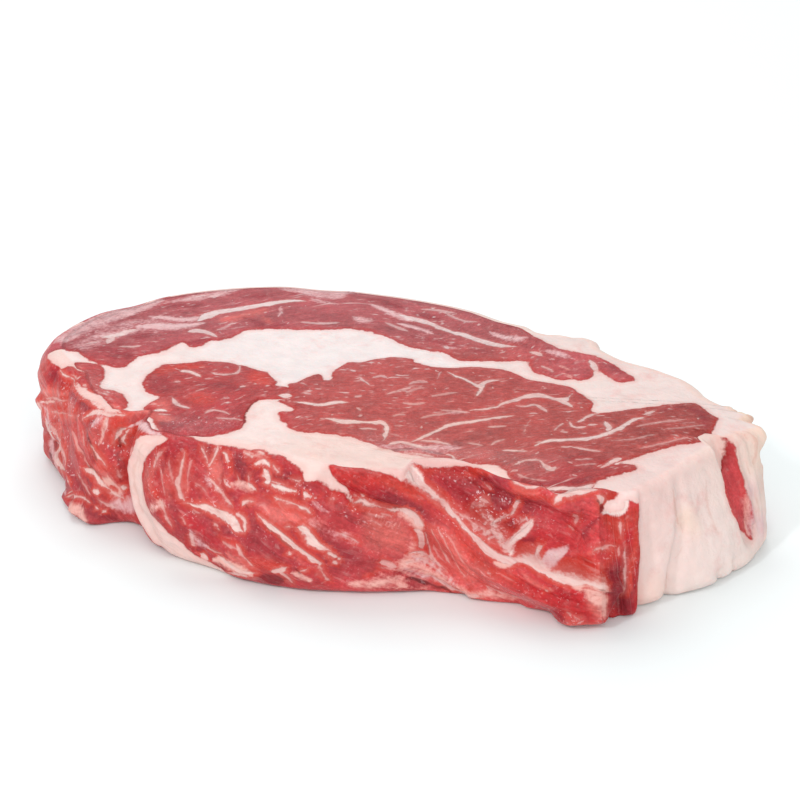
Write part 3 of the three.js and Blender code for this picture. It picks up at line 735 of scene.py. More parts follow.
WALL_LINES = table("""
.9: 3.5 21.5 .75, 8.5 20 .7, 8.5 15 .85, 13 12.5, 12.5 7, 19.5 5.5 .7, 35.5 10 .6, 33.5 4 .4
.5: 16 19 .6, 28.5 16 .55, 33 13.5 .45
.9: 12.5 36 .2, 25 36 .3, 31 36.5 .65, 36 37.5 1.4, 49 37.5 1, 51.5 36.5 .6
.85: 41 31.5 .3, 42.5 33 .55, 44.5 35 .8, 48 36.5 .6, 51 36, 54.5 36.5 .4
.55: 50.5 35 .3, 50 31.5 .25, 49 28 .3
-.7: 43.5 30 .2, 46.5 24 .4, 48.5 21 .2
-.8: 53 29 .25, 53 27 .3, 53 25 .2
1: 52 26 .1, 52.5 29 .2, 54 31.5 .5, 56.5 33 .15
1: 54 25.5 .35, 54 28.5, 57 32.5 .3
.9: 45.5 25.5 .4, 49.5 21 .25, 50.5 19 .3
.4: 35.5 25.5 .4, 37.5 23, 39.5 19 .3
.4: 41 28 .4, 43 24
.4: 37.5 22 .3, 40.5 18.5 .4, 43.5 17 .25
.95: 41 16 .4, 45.5 15.5 .8, 49.5 12.5 .3, 53 9 .25, 55 8 .2
-.6: 41 17.5 .15, 44.5 17 .3, 49 17
1: 53.5 13 .4, 54 11.5 .45
.9: 46.5 11 .7, 48.5 11 .6
.9: 49.5 5.5 .4, 50 5 .45
.8: 47.5 6.5 .4, 48.5 6 .35
.6: 43.5 7 .4, 45.5 7
.7: 34 3.5 .3, 40 6.5 .4, 46 7 .35
.5: 53 18.5 .2, 53.5 15.5 .15
.5: 64 30.5 .4, 63.5 27.5
-.4: 52.5 23.5 .15, 54.5 21 .2, 54.5 17.5 .1
.45: 38 13.5 .2, 42.5 11.5 .4, 45.5 9.5 .3
.45: 48 9 .2, 50.5 7.5 .35, 52.5 6 .2
.62: 85.5 36 .15, 88 33 .25, 89 31.5 .3
.75: 90 36.5 .45, 90.5 34.5 .5, 89.5 31 .35
.85: 92 34 .3, 93.5 34 .4, 95 32.5 .35
.7: 99.5 35.5 .15, 101.5 35 .25, 102.5 34.5 .15
.6: 103 36.5 .3, 105 36 .25
.95: 103.5 33.5 .55, 105.5 34.5 .5, 107.5 34.5 .45, 109 34 .3
.95: 107 33 .55, 108.5 32 .9, 109.5 30.5 .8, 108.5 30 .4
.7: 108.5 35 .15, 110.5 34, 112.5 33
.95: 110.5 30 .3, 112 29.5 .5, 116.5 29.5 .55, 118.5 29.5 .2
.7: 110 30.5 .15, 113 30.5, 116 30.5
-.5: 111 32 .1, 114 32 .25, 116.5 33 .2
.6: 116 32.5 .15, 118 32.5 .2, 119.5 33 .1
.7: 103.5 29.5 .25, 105 28.5 .5, 106.5 27.5 .2
.6: 99 30.5 .2, 100 29
.5: 103 31.5 .15, 104 30
.65: 94.5 28.5 .2, 96.5 27.5 .25, 98 27 .2
.6: 90 28 .5, 94 25.5 .35, 100 22.5
.8: 103.5 23.5 .4, 104 24.5 .55, 107 25 .15
-.7: 104.5 24 .15, 106 23
.85: 112 27 .25, 120 25.5 .3, 123 24.5 .15
.95: 109 22.5 .3, 117.5 18 .8, 125 11.5 .65, 125.5 10 .4
-.45: 111 20.5 .25, 114 19, 120 14.5 .2
.6: 125.5 10 .35, 126 7.5 .25, 127.5 5 .2
1: 120 20.5 .5, 121.5 20.5 1.1, 123 19.5 1.2, 125.5 16.5 .7, 128.5 15 .3
.9: 127.5 15 .45, 128.5 14 .5, 129.5 13
.8: 129 12 .45, 129.5 10.5
.7: 130 12.5 .3, 130.5 12 .25
.8: 117 20.5 .25, 118 20.5, 118.5 20.5 .15
.8: 119 14 .2, 119.5 13 .3
.85: 121.5 8 .4, 122.5 8.5 .35, 123 9 .3
-.6: 120.5 9 .3, 121.5 7 .25
.85: 87.5 5.5 .85, 88.5 5 1.1, 90 4.5 .6
.55: 85 12.5 .55, 85.5 10 .65, 86 8 .5
.85: 93.5 7 .3, 100.5 5.5 .8, 108 5 .55, 110.5 5.5 .4
.5: 90 8.5 .3, 93 8 .4, 96.5 8 .3
.55: 103.5 13 .25, 108 9.5 .4, 109.5 7.5 .3
.4: 97 12.5 .3, 101.5 12, 104.5 12 .1
.7: 98 2 .3, 104 3.5 .6, 108 3.5 .4
.75: 114.5 7 .6, 117 8 .75, 118.5 9 .35
.65: 116.5 7.5 .4, 118 5.5, 119 3
.7: 81.5 34 .3, 81 28.5 .6, 81 25.5 .65, 83.5 21.5 .5
.35: 84.5 32.5 .15, 83.5 28.5 .25, 84 24.5 .15
.95: 83 21 .25, 87 21 .45, 89 21 .95, 94 20 1.35, 101 19.5 1.3, 103.5 18 1.25, 106 17 .45
.8: 102 21.5 .2, 105 20.5 .5, 106 18.5 .55, 106.5 17 .35
.5: 77 20.5 .25, 78 17.5 .3, 80 13 .25
.45: 75.5 33.5 .6, 74 31, 73 28 .4
.3: 75.5 28.5 .35, 77 25 .4, 78.5 22.5 .3
.35: 78 32 .15, 79 28 .2, 80.5 24.5 .1
.55: 93 17 .3, 95 16.5 .45
.5: 94.5 16 .25, 95.5 15.5
.4: 82.5 17.5 .2, 84 15.5
.35: 86 27 .15, 88 26 .25, 89.5 25 .2
.35: 85.5 20 .2, 87 19 .35, 88.5 19 .1
.85: 120.5 30 .45, 121.5 29.5 .7, 122.5 29.5 .5
.5: 127.5 29.5 .1, 129 29.5 .15
-.5: 139.5 27 .1, 142.5 26 .15, 146 26.5 .25
.95: 133 28 .25, 136 27.5 .55, 142.5 25.5 .15, 145.5 25.5 .45
.6: 135 30 .3, 136 29 .4
.35: 133 29.5 .3, 135.5 28 .15
.9: 145.5 25.5 .5, 147.5 25.5 1.05, 149.5 24.5 1.15, 151 22.5 1.05, 152.5 20.5 .55
.9: 149.5 20 .4, 151 19 1, 151.5 17 1.05, 152 14 .7
.45: 138 24 .2, 139.5 23 .25, 141 22 .15
.35: 137 25.5 .2, 139.5 24.5 .25, 142 24 .1
.4: 140.5 25 .1, 142 24.5 .25, 143.5 24 .1
.55: 130.5 20 .15, 132 19 .25, 135 17 .2
.6: 140 10.5 .65, 141.5 10.5 .8, 144.5 9 .35
.4: 140 9 .3, 142 9 .25, 144 8.5
-.85: 147 4.5 .2, 149 4.5 .35, 156.5 2 .3, 160 2 .4, 163 0.5 .15, 169 1
.6: 151.5 10.5 .35, 154 9 .3, 159.5 6
.5: 147 10 .3, 149 10 .2, 152 9.5 .25
-.3: 147 7.5 .25, 149.5 8 .2, 153 7
.75: 154.5 5 .4, 163.5 2 .6, 169.5 2, 173 1.5 .45
.7: 152.5 19.5 .15, 153.5 15.5 .3, 154.5 11.5 .45, 156.5 9 .35, 160 7 .2
.5: 154.5 21.5 .25, 160 9.5 .35, 163 7.5 .2
.5: 157 21.5 .25, 161.5 14.5 .35, 163.5 8.5 .3, 167 6 .25
.4: 160 20 .25, 163.5 17.5 .35, 167 13.5 .4, 169 9.5 .25
.35: 155.5 14 .3, 157 10.5, 160 8.5 .15
.8: 148 13 .15, 151.5 13 .25, 156.5 8.5 .15
.45: 173.5 5 .4, 178 4, 182 3.5 .3
.35: 173 13.5 .15, 176 12 .3, 179 11.5 .25
.6: 176.5 13 .15, 177.5 13
.6: 190.5 11.5 .45, 191 11
.4: 195.5 5.5 .4, 196.5 4.5 .3
.4: 197 4.5 .2, 198.5 3.5 .15
1: 145.5 39 .9, 150 33.5, 152 31.5 .65, 161 26 .45, 169 22 .55, 174.5 19.5 1.2, 178.5 18 1.05, \
180.5 17.5 1.2, 185.5 18.5 .55, 191.5 16 1, 200 14 .7, 203.5 13.5 .35
-.5: 202 13 .4, 203 13
.7: 165 25.5 .15, 173 22.5 .2, 174.5 22
.6: 161.5 26.5 .1, 163.5 25.5 .2, 166.5 25 .15
.8: 167.5 27 .6, 169 26.5 .75, 170.5 26 .3
.5: 166 26.5 .15, 167.5 26
.55: 169 31 .25, 170.5 30
.85: 180 31 .4, 178 26 .5, 177.5 24.5 .4
.85: 177.5 25 .2, 173.5 23 .35
.85: 168.5 25.5 .1, 174 22.5 .25, 179.5 21 .2
.85: 179.5 21 .35, 181 20 .3, 181.5 19.5 .2
.85: 179.5 21 .35, 180.5 21, 183.5 24.5 .5
.7: 179.5 24.5 .25, 181 24 .2, 182 25 .3
.4: 176 22.5 .1, 178 22.5
.9: 187 18.5 .5, 187.5 19.5 .65, 188 20 .35
.5: 191.5 18.5 .2, 193.5 19
.5: 196 30 .6, 197 28 .55, 196.5 25 .3
.4: 194.5 24 .4, 196.5 23 .5
.45: 201 20.5 .15, 202.5 21 .35, 207.5 21 .25
-.7: 202 34 .3, 203.5 32 .45, 203 30 .3
.85: 202 35 .45, 203.5 34 .7, 203 32.5 .35
.95: 191 34 .35, 192 36 .65, 193.5 37 .85, 196 36.5, 201.5 37 .6, 203 38.5
.9: 177.5 38.5 .55, 179.5 36.5, 182 36 .45, 184.5 36.5 .5, 188 38.5
.5: 209 22 .15, 208.5 9.5 .25, 207.5 6.5 .1
.6: 208 28.5 .35, 208 26.5, 208 23.5 .2
.5: 207.5 21.5 .25, 207.5 19
.4: 211 18.5 .25, 211 17.5
-.4: 205 7.5 .45, 205 10 .3, 205 13
-.35: 148.5 38.5 .2, 154.5 37, 158.5 37 .1
.6: 22.5 37 .45, 22.5 38.5
.6: 28 38.5 .4, 30 39
.5: 18.5 37 .25, 22 37 .4
.7: 217 36 .35, 216.5 26.5, 215 6 .2
-.6: 261.5 36.5 .3, 261 35 .25, 261 34
-.35: 258.5 30.5 .25, 259 27.5 .3, 259.5 24.5 .2
-.3: 259.5 21.5 .15, 260 15.5 .3, 260 8 .2
-.3: 228 22 .15, 227.5 15.5 .1, 225.5 11.5 .15
.45: 6 23 .15, 15.5 27 .4, 24.5 30 .15
.4: 11.5 21 .15, 21 24.5 .35, 35.5 30 .15
-.45: 262 39 .3, 262.5 33 .45, 261.5 26 .3
-.4: 268 40 .3, 267.5 34 .45, 269 28 .45, 268 20 .3
-.45: 274 40 .3, 273 33 .5, 274.5 27 .3
-.5: 265.5 24 .3, 266 15 .5, 265 6 .3
-.45: 271 24 .3, 270 14 .5, 271 5 .3
-.4: 279 39 .3, 278.5 33 .45, 280 28 .3
-.4: 226.5 33 .3, 226 27 .45, 227.5 21 .3
-.35: 66.5 30 .3, 64.5 24 .4, 64 17 .4, 66.5 10 .3
-.3: 69 34 .3, 66.5 28 .35, 65.5 21 .3
-.3: 70 7 .3, 76 5 .4, 84 2.5 .3
-.3: 240 30 .3, 238 22 .4, 239.5 15 .3
-.4: 222.5 12 .3, 223 5 .6, 222 0 .4
""")
print(len(FACE_LINES), "lines on the face and", len(WALL_LINES), "on the wall")

# %% Smooth lines
def smooth_line(points, steps=6):
    """Open smooth curve through the points, with the end points repeated as their neighbours."""
    padded = np.concatenate([points[:1], points, points[-1:]])
    part = (np.arange(steps) / steps)[None, :, None]
    neighbours = (padded[k:len(padded) - 3 + k][:, None] for k in range(4))
    curve = through_points(*neighbours, part).reshape(-1, points.shape[1])
    return np.concatenate([curve, points[-1:]])


print("a line of 3 points is drawn with", len(smooth_line(np.zeros((3, 3)))))

# %% Share the lines out in layers
LAYERS = 6
CLEAR_GAP = 3.4
NO_NEIGHBOUR = 99.0


def between(one, other):
    """Least gap between the edges of two smooth lines."""
    apart = np.hypot(*np.moveaxis(one[:, None, :2] - other[:, :2], -1, 0))
    return (apart - one[:, None, 2] - other[:, 2]).min()


def in_layers(lines):
    """Gives each line, longest first, to the first layer whose lines all keep clear of it."""
    drawn = [(smooth_line(points), float(share)) for (share,), points in lines]
    drawn.sort(key=lambda line: -len(line[0]))
    layers = [[] for _ in range(LAYERS)]
    for line in drawn:
        room = [min([between(line[0], other[0]) for other in layer], default=NO_NEIGHBOUR)
                for layer in layers]
        layers[int(np.argmax(np.minimum(room, CLEAR_GAP)))].append(line)
    return layers


print("lines in each layer of the wall:", [len(layer) for layer in in_layers(WALL_LINES)])

# %% Measure the layers
FAR_SIDE, FAR_WIDTH = 9.0, -5.0
END_SHARE, TAPER, END_FALL, LINE_MARGIN = 0.3, 8, 0.8, 4
CLEAR_OF_LINE, CROWDED = 0.2, 0.6


def shares_along(line):
    """Share of the way along at each point of a line."""
    sizes = np.hypot(*np.diff(line[:, :2], axis=0).T)
    return np.concatenate([[0], np.cumsum(sizes)]) / sizes.sum()


def line_layer(across, up, lines, cell=1.7):
    """Signed distance to the nearest line of a layer, its half width there, which tapers to both
    ends and is far below nought where no line is within a cell of the mesh, and its share. Where
    two lines are about as near, the mesh can't hold both signs, so neither is drawn there."""
    values = np.stack([np.full(across.size, v) for v in (FAR_SIDE, FAR_WIDTH, 0.0)])
    closest, second = np.full(across.size, FAR), np.full(across.size, FAR)
    for line, share in lines:
        widest = line[:, 2].max()
        near = np.flatnonzero(near_box(across, up, line[:, :2], widest + LINE_MARGIN).ravel())
        distance, side, along, _, _ = measure_line(across.ravel()[near], up.ravel()[near], line[:, :2])
        half = np.interp(along, shares_along(line), line[:, 2])
        width = half * (END_SHARE + (1 - END_SHARE) * smooth01(TAPER * np.minimum(along, 1 - along)))
        width = np.where((along <= 0) | (along >= 1), width - END_FALL * distance, width)
        width = np.where(distance < half + cell, width, FAR_WIDTH)
        clear = distance - half
        won = clear < closest[near]
        second[near] = np.minimum(second[near], np.maximum(clear, closest[near]))
        index = near[won]
        closest[index] = clear[won]
        values[:, index] = np.stack([side * distance, width, share + 0 * distance])[:, won]
    torn = (closest > CLEAR_OF_LINE) & (second - closest < CROWDED * cell)
    values[1] = np.where(torn, FAR_WIDTH, values[1])
    return values.reshape((3,) + across.shape)


# %% Lines of the whole skin
LINE_WANDER = 0.4
# the veins slant a little on their way down through the slice
UNDER_LINE_SHIFT = (2, -1)


def all_layers(across, up, lines, seed):
    """The layers of lines over uneven places, so that the lines wander a little."""
    across, up = wobbled(across, up, LINE_WANDER, seed)
    return np.stack([line_layer(across, up, layer) for layer in in_layers(lines)])


top_lines = all_layers(top[..., 0], top[..., 1], FACE_LINES, 71)
under_lines = all_layers(under[..., 0] + UNDER_LINE_SHIFT[0], under[..., 1] + UNDER_LINE_SHIFT[1],
                         FACE_LINES, 81)
wall_lines = all_layers(along_rim, up_wall, WALL_LINES, 91)
print("places on a line:", int((np.abs(wall_lines[:, 0]) < wall_lines[:, 1]).sum()))

# %% [markdown]
# ## Strokes of tissue, painted shade and painted highlights
#
# Much of what shows in the lean has no sharp edge: milky membrane, thin fat that the red shines
# through, blood, dark cracks and fibres. It is painted as strokes, as a painter would, each a
# line with a width, a tissue and a strength. Light and shade are painted the same way: on the wall
# the deep and crack ones are painted shade in the creases, the cracks and the wet hollow behind the
# strip, the dark ones are painted shade there as well as darker meat, and some salmon ones are
# painted highlights on the bulges, the rest lighter meat. What fills an area is a patch with a
# closed outline. The material breaks their edges up, so a few strokes look like many.

# %% Tissues, painted shade and painted highlights
def linear(hex_colour):
    """sRGB hex colour to the linear red, green and blue that shaders work in."""
    values = np.array([int(hex_colour[k:k + 2], 16) for k in (1, 3, 5)]) / 255
    return np.where(values <= 0.04045, values / 12.92, ((values + 0.055) / 1.055) ** 2.4)


# colours of the tissues and of painted shade and light: on the wall deep and crack are painted shade, dark
# is painted shade there and darker meat, salmon is partly painted highlights
TISSUES_SHADES_AND_HIGHLIGHTS = {"fat": "#efd5cf", "membrane": "#dfb5b6", "thin": "#e8b0a6", "salmon": "#d3655e",
           "blood": "#c23a30", "red": "#b4323a", "deep": "#b01420", "dark": "#8c2630",
           "crack": "#64161e"}
STAINS_SHADES_AND_HIGHLIGHTS = ("salmon", "blood", "red", "deep", "dark", "crack")
TINT_WEIGHT, MOST_FILM = 0.9, 1.2
print(len(TISSUES_SHADES_AND_HIGHLIGHTS), "tissues,", len(STAINS_SHADES_AND_HIGHLIGHTS), "of them stains")

# %% Strokes and patches
# tissue, painted shade or painted highlight, strength, and the points with half widths
FACE_STROKES = table("""
dark .7: 33 -58 1.3, 38 -61 1.7, 44 -62, 49 -62 1.4, 55 -59 1
membrane .5: 16 -18 1.3, 21 -19
thin .6: 51 9 .6, 55 3, 57 -2, 58 -9 .3
salmon .6: 70 -40 .8, 77 -37, 85 -34
dark .8: 86 -17 1.3, 90 -22 1.1, 89 -30 .7
dark .6: 78 -18 1.2, 84 -16
dark .6: -56 0 1.3, -49 -1 1.6, -43 -5 1.1
membrane 1: -79 42 1.9, -69 41 2.7, -64 42 2.3, -59 44 1.8
membrane .9: -92 35 1.5, -85 36 1.8, -79 40
membrane .9: -76 49 1.5, -65 47 2, -61 49 1.5
membrane .6: -75 33 .9, -73 37
salmon .8: -53 46 2, -48 50 2.4, -41 55 2.1
salmon .7: -41 49 1.1, -38 44 .9
membrane .7: -36 58 .7, -35 53 .8, -36 49
membrane .6: -26 63 1.3, -22 60 1.4, -17 58 1.5
membrane .7: -12 49 1.3, -9 46 1.9, -6 47 1.4
membrane .9: -7 58 1.3, -2 55 1.6, 7 47
membrane .8: 3 45 1.4, 8 42 1.3, 13 38
membrane .7: 7 36 1.4, 11 35
membrane .6: 15 30 .9, 19 27 1.5, 23 29 1
membrane .8: 30 39 1.2, 38 33 2.2, 42 33 1.8
membrane .7: 47 23 1.4, 51 21 1.6, 55 17 1.2
thin .7: 51 13 .9, 54 10
dark .9: -86 20 1.8, -83 21 2.2, -79 22 1.8
dark .9: -99 24 1.5, -96 25
dark .8: -80 33 1.5, -75 35 1.9
dark .8: -74 57 1.9, -68 59 2.4, -61 60 2
dark .9: -63 30 1.5, -60 30 1.8, -56 32 1.4
dark .7: -49 66 1.6, -44 67 2, -39 67 1.6
dark .7: -46 49 1.2, -41 44 1.4, -34 43 1.5
dark .7: -33 69 .9, -29 66 1.2
dark .8: -8 63 1.5, -2 61 1.9, 4 57 1.4
dark .6: 6 36 1.7, 14 32, 21 27 1.6
dark .7: 9 52 1.4, 15 49
dark .8: 34 46 1.3, 39 42 1.6
dark .8: 40 27 1.4, 44 26
dark .6: 24 24 1.4, 30 23
dark .6: 64 14 .9, 68 10 1.1, 71 5 .7
""")
# on the wall, crack strokes are painted shade in cracks, dark ones painted shade in creases as well as
# darker meat, and some salmon ones painted highlights on the bulges
WALL_STROKES = table("""
blood .9: 11 28 1.9, 20 32 1.5, 27 34 1.8
salmon 1: 8 27 .7, 13 28 .9, 17 28 .6
thin 1: 5 21 .9, 8 23 .6, 17 27 .3
blood 1: 14 23 1.2, 26 27 1, 39 33 .7
dark .9: 33 35 .5, 41 35, 45 35 .6
dark .8: 9 32 1.1, 15 33 1.2
dark .9: 43 32 .6, 47 34
salmon 1: 19 20 1, 26 18 1.3, 31 16 1
blood .9: 24 20 .4, 29 17, 34 15
dark .8: 25 19 .4, 28 18 .2
thin .9: 43 37 .9, 47 38 .8, 50 38 .4
membrane .8: 46 32 1, 48 34 1.3, 49 35 1.1
salmon 1: 52 37 .8, 57 38 1, 59 40
thin .9: 50 35 .7, 50 32 .5, 48 26
red 1: 51 26 1.2, 52 23 .9, 51 21 .6
dark .9: 43 28 .4, 45 26 .6, 49 18 .3
dark 1: 53 28 .7, 53 26 .6
membrane 1: 57 33 .6, 63 37 1.2, 67 38 1, 71 37 .8
salmon .8: 37 24 1, 38 20 .8
salmon .9: 48 20 .9, 50 17 1.5
salmon 1: 51 13 .8, 52 11
dark 1: 46 5 .8, 49 4 1.1, 52 2 1
dark .8: 53 24 .5, 54 20, 54 15 .6
membrane .8: 90 36 .6, 91 34
salmon 1.2: 90 33 1.1, 91 30 1.4, 93 28 1.2
blood 1: 94 35 .7, 97 32 1.1, 97 30 .9
thin .5: 99 36 .9, 102 36 1.2, 107 36 .9
dark .9: 110 32 .7, 114 33 .8, 116 34 .7
membrane .7: 89 28 .7, 91 26
salmon .7: 121 12 .4, 123 10
membrane .7: 85 14 1.1, 87 10 1.3, 90 9 1
salmon 1: 99 9 1.2, 105 8 1.6, 110 7 1.2
dark 1: 88 3 .6, 93 3 .7, 100 3 .8
thin .9: 76 9 .9, 80 6 1.4, 88 2 .8
salmon .9: 82 33 .8, 82 29 .9, 84 24 .8
blood 1: 75 23 .8, 76 21 .6
salmon .7: 74 31 1.2, 73 27 1.3, 74 23 .8
salmon .6: 77 29 1, 79 24 .7, 80 21 .5
dark .7: 94 30 .8, 96 26 1, 101 24 .9
blood .8: 95 14 1.2, 102 13 1.1, 108 12 1.3
blood .9: 109 27 .6, 120 27 .8, 125 30 .5
red .8: 128 29 .4, 132 29 .5, 136 29 .6
membrane .55: 123 27 .7, 125 27 1, 128 26 .7
membrane .5: 130 28 .2, 132 27 .3
blood 1: 146 33 .7, 155 26 1.1, 161 23 1.4
thin .5: 139 25 .5, 142 23 .7, 145 22 .6
red .7: 132 27 .6, 133 24 1, 134 20 .8
blood .9: 136 7 .9, 139 8 .7, 141 9 .5
red .8: 157 19 .6, 159 14 .4, 162 9 .5
membrane .9: 149 12 .6, 158 7 .4, 164 4
membrane .8: 147 8 .6, 152 5, 163 2 .4
blood .7: 151 11 .3, 155 8, 160 6
salmon .9: 162 20 .6, 170 14 .7, 174 12 .8
salmon .9: 185 15 .4, 188 13 .6, 192 12 .5
dark .8: 189 5 .6, 193 4 1, 195 3 .6
thin .8: 202 10 .3, 203 9, 203 6
dark 1: 182 21 .3, 185 21, 187 20
blood .9: 177 32 .9, 182 34 1.4, 191 35 .7
salmon .9: 200 20 .4, 203 21 .7, 206 20 .6
salmon .8: 203 17 .7, 204 15 .6
dark .8: 193 17 .3, 197 16 .4, 201 15 .3
dark .8: 199 23 .6, 201 26, 203 29
salmon .9: 179 35 .6, 182 35, 187 36 .5
blood 1.2: 211 33 .8, 212 26 1, 210 6 .4
dark .8: 371 38 .6, 375 39
thin 1: 92 5 1.2, 106 5 1.6, 109 4 1.1
thin .9: 120 7 .8, 122 6 1, 124 5 .8
salmon .5: 229 23 .6, 229 19 .8, 228 16 .5
thin .8: 217 11 .7, 218 7 .8, 217 5 .7
fat 1.1: 6 23 .5, 14 19 .6, 12 14 .4
membrane .8: 6 22 .7, 13 19 .9, 6 8 .8, 14 5 .9, 19 2 .7, 33 3 .6
blood 1: 4 23 .5, 15 28 .8, 25 31 .6
dark .6: 8 34 1.6, 12 33 1.8, 15 31 1
dark .65: 24 32 1.3, 35 35 1.2, 44 35 .8
salmon 1.2: 5 25 .9, 15 29 1.2, 23 31 .7
blood 1.2: 12 23 .9, 23 27 1.4, 34 31 .7
membrane .5: 524 32 2.5, 529 24 3, 534 14 3, 538 6 1.5
thin .5: 540 35 2.5, 541 26 2.5, 544 16 2
thin .5: 518 12 3, 528 9 3, 540 10 2
membrane .7: 280 22 4, 300 16 5, 318 14 3
salmon .8: 530 36 3, 536 28 4
red 1: 152 30.5 3, 158 28.5 4.5, 166 27 4
dark .6: 522 20 3, 526 8 4
crack 1: 254.5 36 1.2, 254 31 1.3, 252 27 .8
fat 1.4: 145 37 1.2, 148.5 34.6 1.5, 151.5 32 1.2
thin .8: 256.5 20 .8, 257 14 1.2, 256 9 1
membrane .9: 258 22 .8, 258.5 14 1, 257 8 .8
""")
# tissue, painted shade or painted highlight, strength, width of the soft edge, and the points of a closed
# outline
FACE_PATCHES = table("""
salmon .8 2: -16.5 -50.5, -8 -52.5, 0 -56.5, -3.5 -56.5, -13.5 -53
blood 1.1 2.5: 5.5 -52.5, 11 -52.5, 27.5 -55, 30 -56, 26.5 -58.5, 6.5 -56
membrane .5 3: -4 -37, 11 -37, 20 -40, 14 -44, -1 -40
salmon .8 1: -19 -48, -19 -44, -17.5 -42.5, -17 -44, -18 -46.5
blood .8 2: -70.5 11.5, -66.5 14.5, -60.5 16, -56 14.5, -58.5 11.5, -64.5 11, -69 8
blood .9 3: -42 10, -38 9, -35 4, -35 -1, -39 -1, -42 3
blood .7 4: -60 -8, -56 -6, -51 -10, -53 -14, -58 -13
dark .55 4: -72 6, -68 6, -63 0, -66 -4, -71 -1
membrane .12 3: -61 -17, -56 -16, -53 -20, -53 -26, -56 -30, -60 -26
salmon .7 3: -70 -10, -66 -9, -64 -13, -64 -18, -69 -14
salmon .9 2: -69 -18.5, -64.5 -19.5, -61.5 -22.5, -64 -24, -68 -22.5
dark .7 2: -67 -25, -62.5 -24, -59 -26, -61 -30, -65.5 -28.5
membrane .72 3: -105 27, -104 39, -97 46, -92 53, -86 59, -79 63, -73 65, -76 58, -98 33
membrane .68 3: -72 64, -52 74, -47 74, -62 64, -68 62
membrane .68 3: -36 74, -27 75, -8 71, -13 69, -15 64, -21 62, -27 65
dark .5 4: -91 27, -85 30, -80 27, -83 23, -89 23
salmon .9 1.5: -82.5 -13, -81 -12, -78.5 -14.5, -79.5 -16.5, -81.5 -16
salmon .8 1.5: -95 13, -94 15, -93 11, -93.5 8.5
membrane .5 6: -99 28, -94 39, -85 46, -73 49, -71 39, -81 35, -95 23
""")
